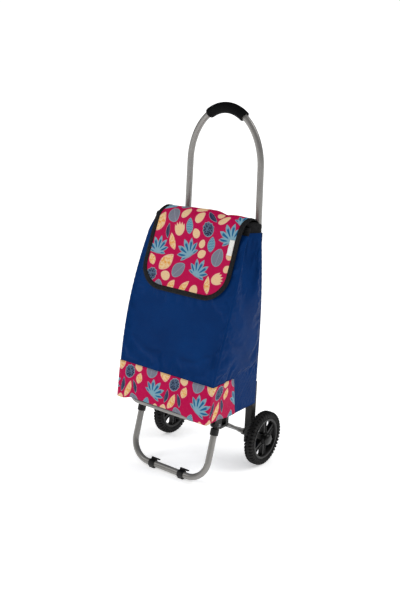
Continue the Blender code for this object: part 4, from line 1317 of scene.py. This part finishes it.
# ---- flap ---------------------------------------------------------------------------------------
def flap_line():
    """Middle line of the flap, as (y, z) points at even steps, from the rear hem to the lower edge."""
    crest = high("flap_binding").z - 0.0008
    turn = BAG_RIM - 0.018
    front = bag_front(turn)
    points = [(FLAP_HEM.y, FLAP_HEM.z), (FLAP_HEM.y - 0.013, FLAP_HEM.z + 0.0120),
              (FLAP_HEM.y - 0.032, crest), (front + 0.020, crest - 0.0085),
              (front + 0.0045, crest - 0.0225), (front - FLAP_GAP, turn)]
    levels = 8
    for k in range(1, levels + 1):
        z = turn + (FLAP_LOW - turn) * k / levels
        points.append((bag_front(z) - FLAP_GAP, z))
    return smooth_line([(y, z, 0) for y, z in points], 0.002)


FLAP_LINE = flap_line()
FLAP_STEP = (FLAP_LINE[1] - FLAP_LINE[0]).length
FLAP_LENGTH = FLAP_STEP * (len(FLAP_LINE) - 1)


def flap_wave(x, run):
    """Soft unevenness of the flap: broad ripples, a lift at the lower corners and a slack middle on top."""
    ripple = 0.0030 * noise.noise(Vector((x * 17, run * 7, 3.1)))
    ripple += 0.0012 * noise.noise(Vector((x * 38, run * 24, 8)))
    low_edge = ease(run, FLAP_LENGTH - 0.06, FLAP_LENGTH)
    curl = 0.0032 * low_edge * (abs(x) / FLAP_HALF) ** 2
    hem = ease(run, 0.0, 0.02)
    over = math.sin(math.pi * min(run / 0.11, 1))
    bow = 0.0075 * (1 - (x / FLAP_HALF) ** 2)
    dip = 0.0070 * math.exp(-((x - 0.058) / 0.017) ** 2)
    crown = over * (bow - dip)
    return (ripple + curl + crown) * hem


def flap_at(x, run, lift=0.0):
    """Point on the flap at x across and run along it, lifted off its middle layer, outwards."""
    where = min(max(run / FLAP_STEP, 0), len(FLAP_LINE) - 1.001)
    k = int(where)
    point = FLAP_LINE[k].lerp(FLAP_LINE[k + 1], where - k)
    ahead, behind = FLAP_LINE[min(k + 2, len(FLAP_LINE) - 1)], FLAP_LINE[max(k - 1, 0)]
    along = Vector((0, ahead.x - behind.x, ahead.y - behind.y)).normalized()
    outward = Vector((0, along.z, -along.y))
    past_edge = max(run - FLAP_LENGTH, 0)
    return Vector((x, point.x, point.y)) + along * past_edge + outward * (flap_wave(x, run) + lift)


def flap_outline(inset, spacing):
    """The flap's edge in its flat coordinates (x, run), from the left of the rear hem round to the right."""
    half, corner, length = FLAP_HALF - inset, FLAP_CORNER - inset, FLAP_LENGTH - inset
    path = [Vector((-half, 0, 0)), Vector((-half, length - corner, 0))]
    steps = 18
    for k in range(steps + 1):
        turn = math.pi / 2 * k / steps
        aside = half - corner + corner * math.cos(turn)
        path.append(Vector((-aside, length - corner + corner * math.sin(turn), 0)))
    path += [Vector((-p.x, p.y, 0)) for p in reversed(path)]
    return [p.xy for p in even_line(path, spacing)]


def make_flap(inks, lining, tape):
    leaves = scatter_leaves(2 * FLAP_HALF, FLAP_LENGTH, SEED, math.pi)
    leaves = [moved_leaf(leaf, Vector((-FLAP_HALF, 0))) for leaf in leaves]
    outline = flap_outline(0.0025, 0.004)
    mesh = printed_mesh("flap_cloth", outline, leaves, lambda x, run: flap_at(x, run, 0.0002), 0.006, True)
    panel = add_piece("flap_cloth", mesh, "flap", ["flap_panel"], "print_fabric", *inks, lining)
    thicken(panel, 0.0007, -1, len(inks))

    edge = flap_outline(0.0, 0.003)
    thick = 0.0017
    section = []
    for angle in angles(14):
        across, up = math.cos(angle), math.sin(angle)
        section.append((BINDING_WIDTH / 2 * math.copysign(abs(across) ** 0.55, across),
                        thick * math.copysign(abs(up) ** 0.7, up)))
    rings = []
    for k, p in enumerate(edge):
        ring = []
        for reach, lift in section:
            q = p + inward(edge, k) * (BINDING_WIDTH / 2 + reach - 0.0004)
            ring.append(flap_at(q.x, q.y, lift))
        rings.append(ring)
    mesh = ring_mesh("binding_tape", rings, caps=True, uv=lambda i, j: (i * 0.003, j * 0.0015))
    fix_normals(mesh)
    binding = add_piece("binding_tape", mesh, "flap", ["flap_binding"], "black_fabric", tape)
    reach = BINDING_WIDTH - 0.0018
    seam = [flap_at(*(p + inward(edge, k) * reach), 0.0018) for k, p in enumerate(edge)]
    return panel, [binding, stitch_line("binding_stitches", seam, "flap", tape)]


def inward(edge, k):
    """Unit step into the flap from point k of its edge."""
    along = direction(edge, k)
    step = Vector((-along.y, along.x))
    middle_of_flap = Vector((0, FLAP_LENGTH / 2))
    return step if step.dot(middle_of_flap - edge[k]) >= 0 else -step


def stitch_line(name, path, body, material, pitch=0.0036, radius=0.00032):
    """A row of short thread loops along a path."""
    path = even_line(path, pitch / 2)
    bm = bmesh.new()
    for a, b in zip(path[::2], path[1::2]):
        along = b - a
        turn = along.to_track_quat("Z", "Y").to_matrix().to_4x4()
        made = bmesh.ops.create_icosphere(bm, subdivisions=1, radius=1)
        size = Matrix.Diagonal((radius, radius, along.length * 0.62, 1))
        bmesh.ops.transform(bm, matrix=Matrix.Translation((a + b) / 2) @ turn @ size, verts=made["verts"])
    layer = bm.loops.layers.uv.new("cloth")
    for face in bm.faces:
        for loop in face.loops:
            loop[layer].uv = (loop.vert.co.x + loop.vert.co.y, loop.vert.co.z)
    mesh = mesh_of(bm, name)
    return add_piece(name, mesh, body, [], "black_fabric", material)


def make_tag(white):
    """Blank tag sewn on near the flap's right edge, slack at its left."""
    left, right = FLAP_HALF - 0.0290, FLAP_HALF - 0.0138
    length = 0.041
    top = middle("flap_label").z + length / 2
    climb = 20      # points of the flap's line that still climb from the rear hem
    start = next(k for k, p in enumerate(FLAP_LINE) if k > climb and p.y < top) * FLAP_STEP
    rows, columns = 6, 14

    def place(i, j):
        slack = 0.0006 * math.sin(math.pi * j / columns) * (1 - i / rows)
        return flap_at(left + (right - left) * i / rows, start + length * j / columns, 0.0012 + slack)

    def cloth_uv(i, j):
        return (right - left) * i / rows, length * j / columns

    grid = [[place(i, j) for j in range(columns + 1)] for i in range(rows + 1)]
    mesh = ring_mesh("flap_tag", grid, closed_rings=False, uv=cloth_uv)
    tag = add_piece("flap_tag", mesh, "flap", ["flap_label"], "white_tape", white)
    thicken(tag, 0.0005, 1)
    return tag


# ---- band, patches ------------------------------------------------------------------------------
def make_band(surface, inks, lining, tape):
    """Printed strip sewn round the foot of the bag's front and partway along its sides."""
    height = BAND_HIGH - BAND_LOW
    low_row = 4
    steps = np.diff(lengths_round([Vector(p) for p in surface.points[low_row]]))
    columns = len(steps)
    ahead, behind = [0.0], [0.0]
    half = FRONT_COLUMNS // 2
    for k in range(half + SIDE_COLUMNS + CORNER_COLUMNS):
        ahead.append(ahead[-1] + steps[(half + k) % columns])
        behind.append(behind[-1] + steps[(half - 1 - k) % columns])
    reach = ahead[half + CORNER_COLUMNS] + BAND_BACK - low("bag_band").y - 0.006

    def place(x, y, lift=0.0007):
        """Point of the band at x across from the front's middle and y up from its lower edge, which is drawn
        up a little along the front."""
        table = ahead if x >= 0 else behind
        column = half + math.copysign(np.interp(abs(x), table, range(len(table))), x)
        drawn_up = 0.009 * ease(x, -0.14, -0.10) * (1 - ease(x, 0.06, 0.12))
        y += drawn_up * (1 - y / height)
        hanging = BAG_FLOOR - surface.at(0, column).z
        y += min(hanging, BAG_FLOOR - BAND_LOW) * (1 - y / height)
        row = surface.row_of(BAND_LOW + y)
        below = min(BAND_LOW + y - BAG_FLOOR, 0)
        return surface.lifted(max(row, 0), column, lift) + Vector((0, 0, below))

    flare = 0.026
    corners = [Vector((-reach - flare, 0, 0)), Vector((reach + flare, 0, 0)), Vector((reach, height, 0)),
               Vector((-reach, height, 0)), Vector((-reach - flare, 0, 0))]
    outline = [p.xy for p in even_line(corners, 0.004)][:-1]
    repeat = 0.155
    tile = scatter_leaves(repeat, height + 0.02, SEED + 5)
    leaves = []
    for copy in range(-2, 3):
        for leaf in tile:
            moved = moved_leaf(leaf, Vector((copy * repeat - repeat / 2, -0.01)))
            near = [other for other in leaves if (other["centre"] - moved["centre"]).length < 0.08]
            if all(gap_between(moved, other) > 0.002 for other in near):
                leaves.append(moved)
    mesh = printed_mesh("band_cloth", outline, leaves, place, 0.006, False)
    band = add_piece("band_cloth", mesh, "frame", ["bag_band"], "print_fabric", *inks, lining)
    thicken(band, 0.0006, 1, len(inks))
    top = [place(-reach + 2 * reach * k / 400, height - 0.0025, 0.0015) for k in range(401)]
    stitches = stitch_line("band_stitches", top, "frame", tape, 0.0034, 0.00028)
    return band, stitches, (2 * (reach + flare), height), (2 * reach + flare) * height


def patch_mesh(name, place, width, height):
    rows, columns = 8, 18
    rings = [[place((j / columns - 0.5) * width, i / rows * height) for j in range(columns + 1)]
             for i in range(rows + 1)]

    def cloth_uv(i, j):
        return width * j / columns, height * i / rows

    return ring_mesh(name, rings, closed_rings=False, uv=cloth_uv)


def make_patches(surface, fuzz):
    bottom = low("closure_patch_bag").z
    width, height = 0.070, 0.023
    patch_height = 0.55
    step = (bag_half(patch_height) - FRONT_CORNER) * 2 / FRONT_COLUMNS

    def on_bag(x, y):
        return surface.lifted(surface.row_of(bottom + y), FRONT_COLUMNS / 2 + x / step, 0.0002)

    mesh = patch_mesh("patch_on_bag", on_bag, width, height)
    bag_patch = add_piece("patch_on_bag", mesh, "frame", ["closure_patch_bag"], "black_fabric", fuzz)
    thicken(bag_patch, 0.0003, 0)
    run = FLAP_LENGTH - (bottom - FLAP_LOW) - height
    mesh = patch_mesh("patch_under_flap", lambda x, y: flap_at(x, run + y, -0.0018), width, height)
    flap_patch = add_piece("patch_under_flap", mesh, "flap", ["closure_patch_flap"], "black_fabric", fuzz)
    thicken(flap_patch, 0.0003, 0)
    return bag_patch, flap_patch


# ---- whole --------------------------------------------------------------------------------------
def print_inks():
    """The print's materials, in the order of the numbers in INKS."""
    inks = (ground_ink, sky_ink, slate_ink, ochre_ink, cream_ink, navy_ink, slim_ink, teal_ink, edge_ink)
    return [printed("print_" + ink.__name__.removesuffix("_ink"), ink) for ink in inks]


def main():
    make_camera()
    make_studio()
    paint, plastic, steel = grey_paint(), black_plastic(), bare_steel()
    webbing, tape = black_webbing(), black_tape()
    dress_hardware(paint, plastic, steel, webbing)
    make_handle(paint, grip_foam())
    make_platform_and_foot(paint)
    rubber = tyre_rubber()
    rim_plastic = black_plastic("rim_plastic", 13, 0.38)
    cap_plastic = black_plastic("cap_plastic", 20, 0.32)
    for side in (-1, 1):
        make_tyre(side, rubber)
        make_hub(side, rim_plastic, cap_plastic)
    lining = black_tape("black_lining", 0.0008)
    bag, surface = make_bag_body(blue_cloth(), lining)
    collar = make_collar(tape)
    board = make_board(board_card())
    inks = print_inks()
    band, band_stitches, band_cut, band_area = make_band(surface, inks, lining, tape)
    bag_patch, flap_patch = make_patches(surface, hook_and_loop())
    flap, flap_edge = make_flap(inks, lining, tape)
    tag = make_tag(white_tag())

    middle_row = 30
    around = lengths_round([Vector(p) for p in surface.points[middle_row]])[-1]
    depth = bag_rear(BAG_FLOOR) - bag_front(BAG_FLOOR)
    floor = depth * 2 * bag_half(BAG_FLOOR)
    for piece in (bag, collar, board, band, band_stitches, bag_patch, flap, *flap_edge, tag, flap_patch):
        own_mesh(piece)


main()
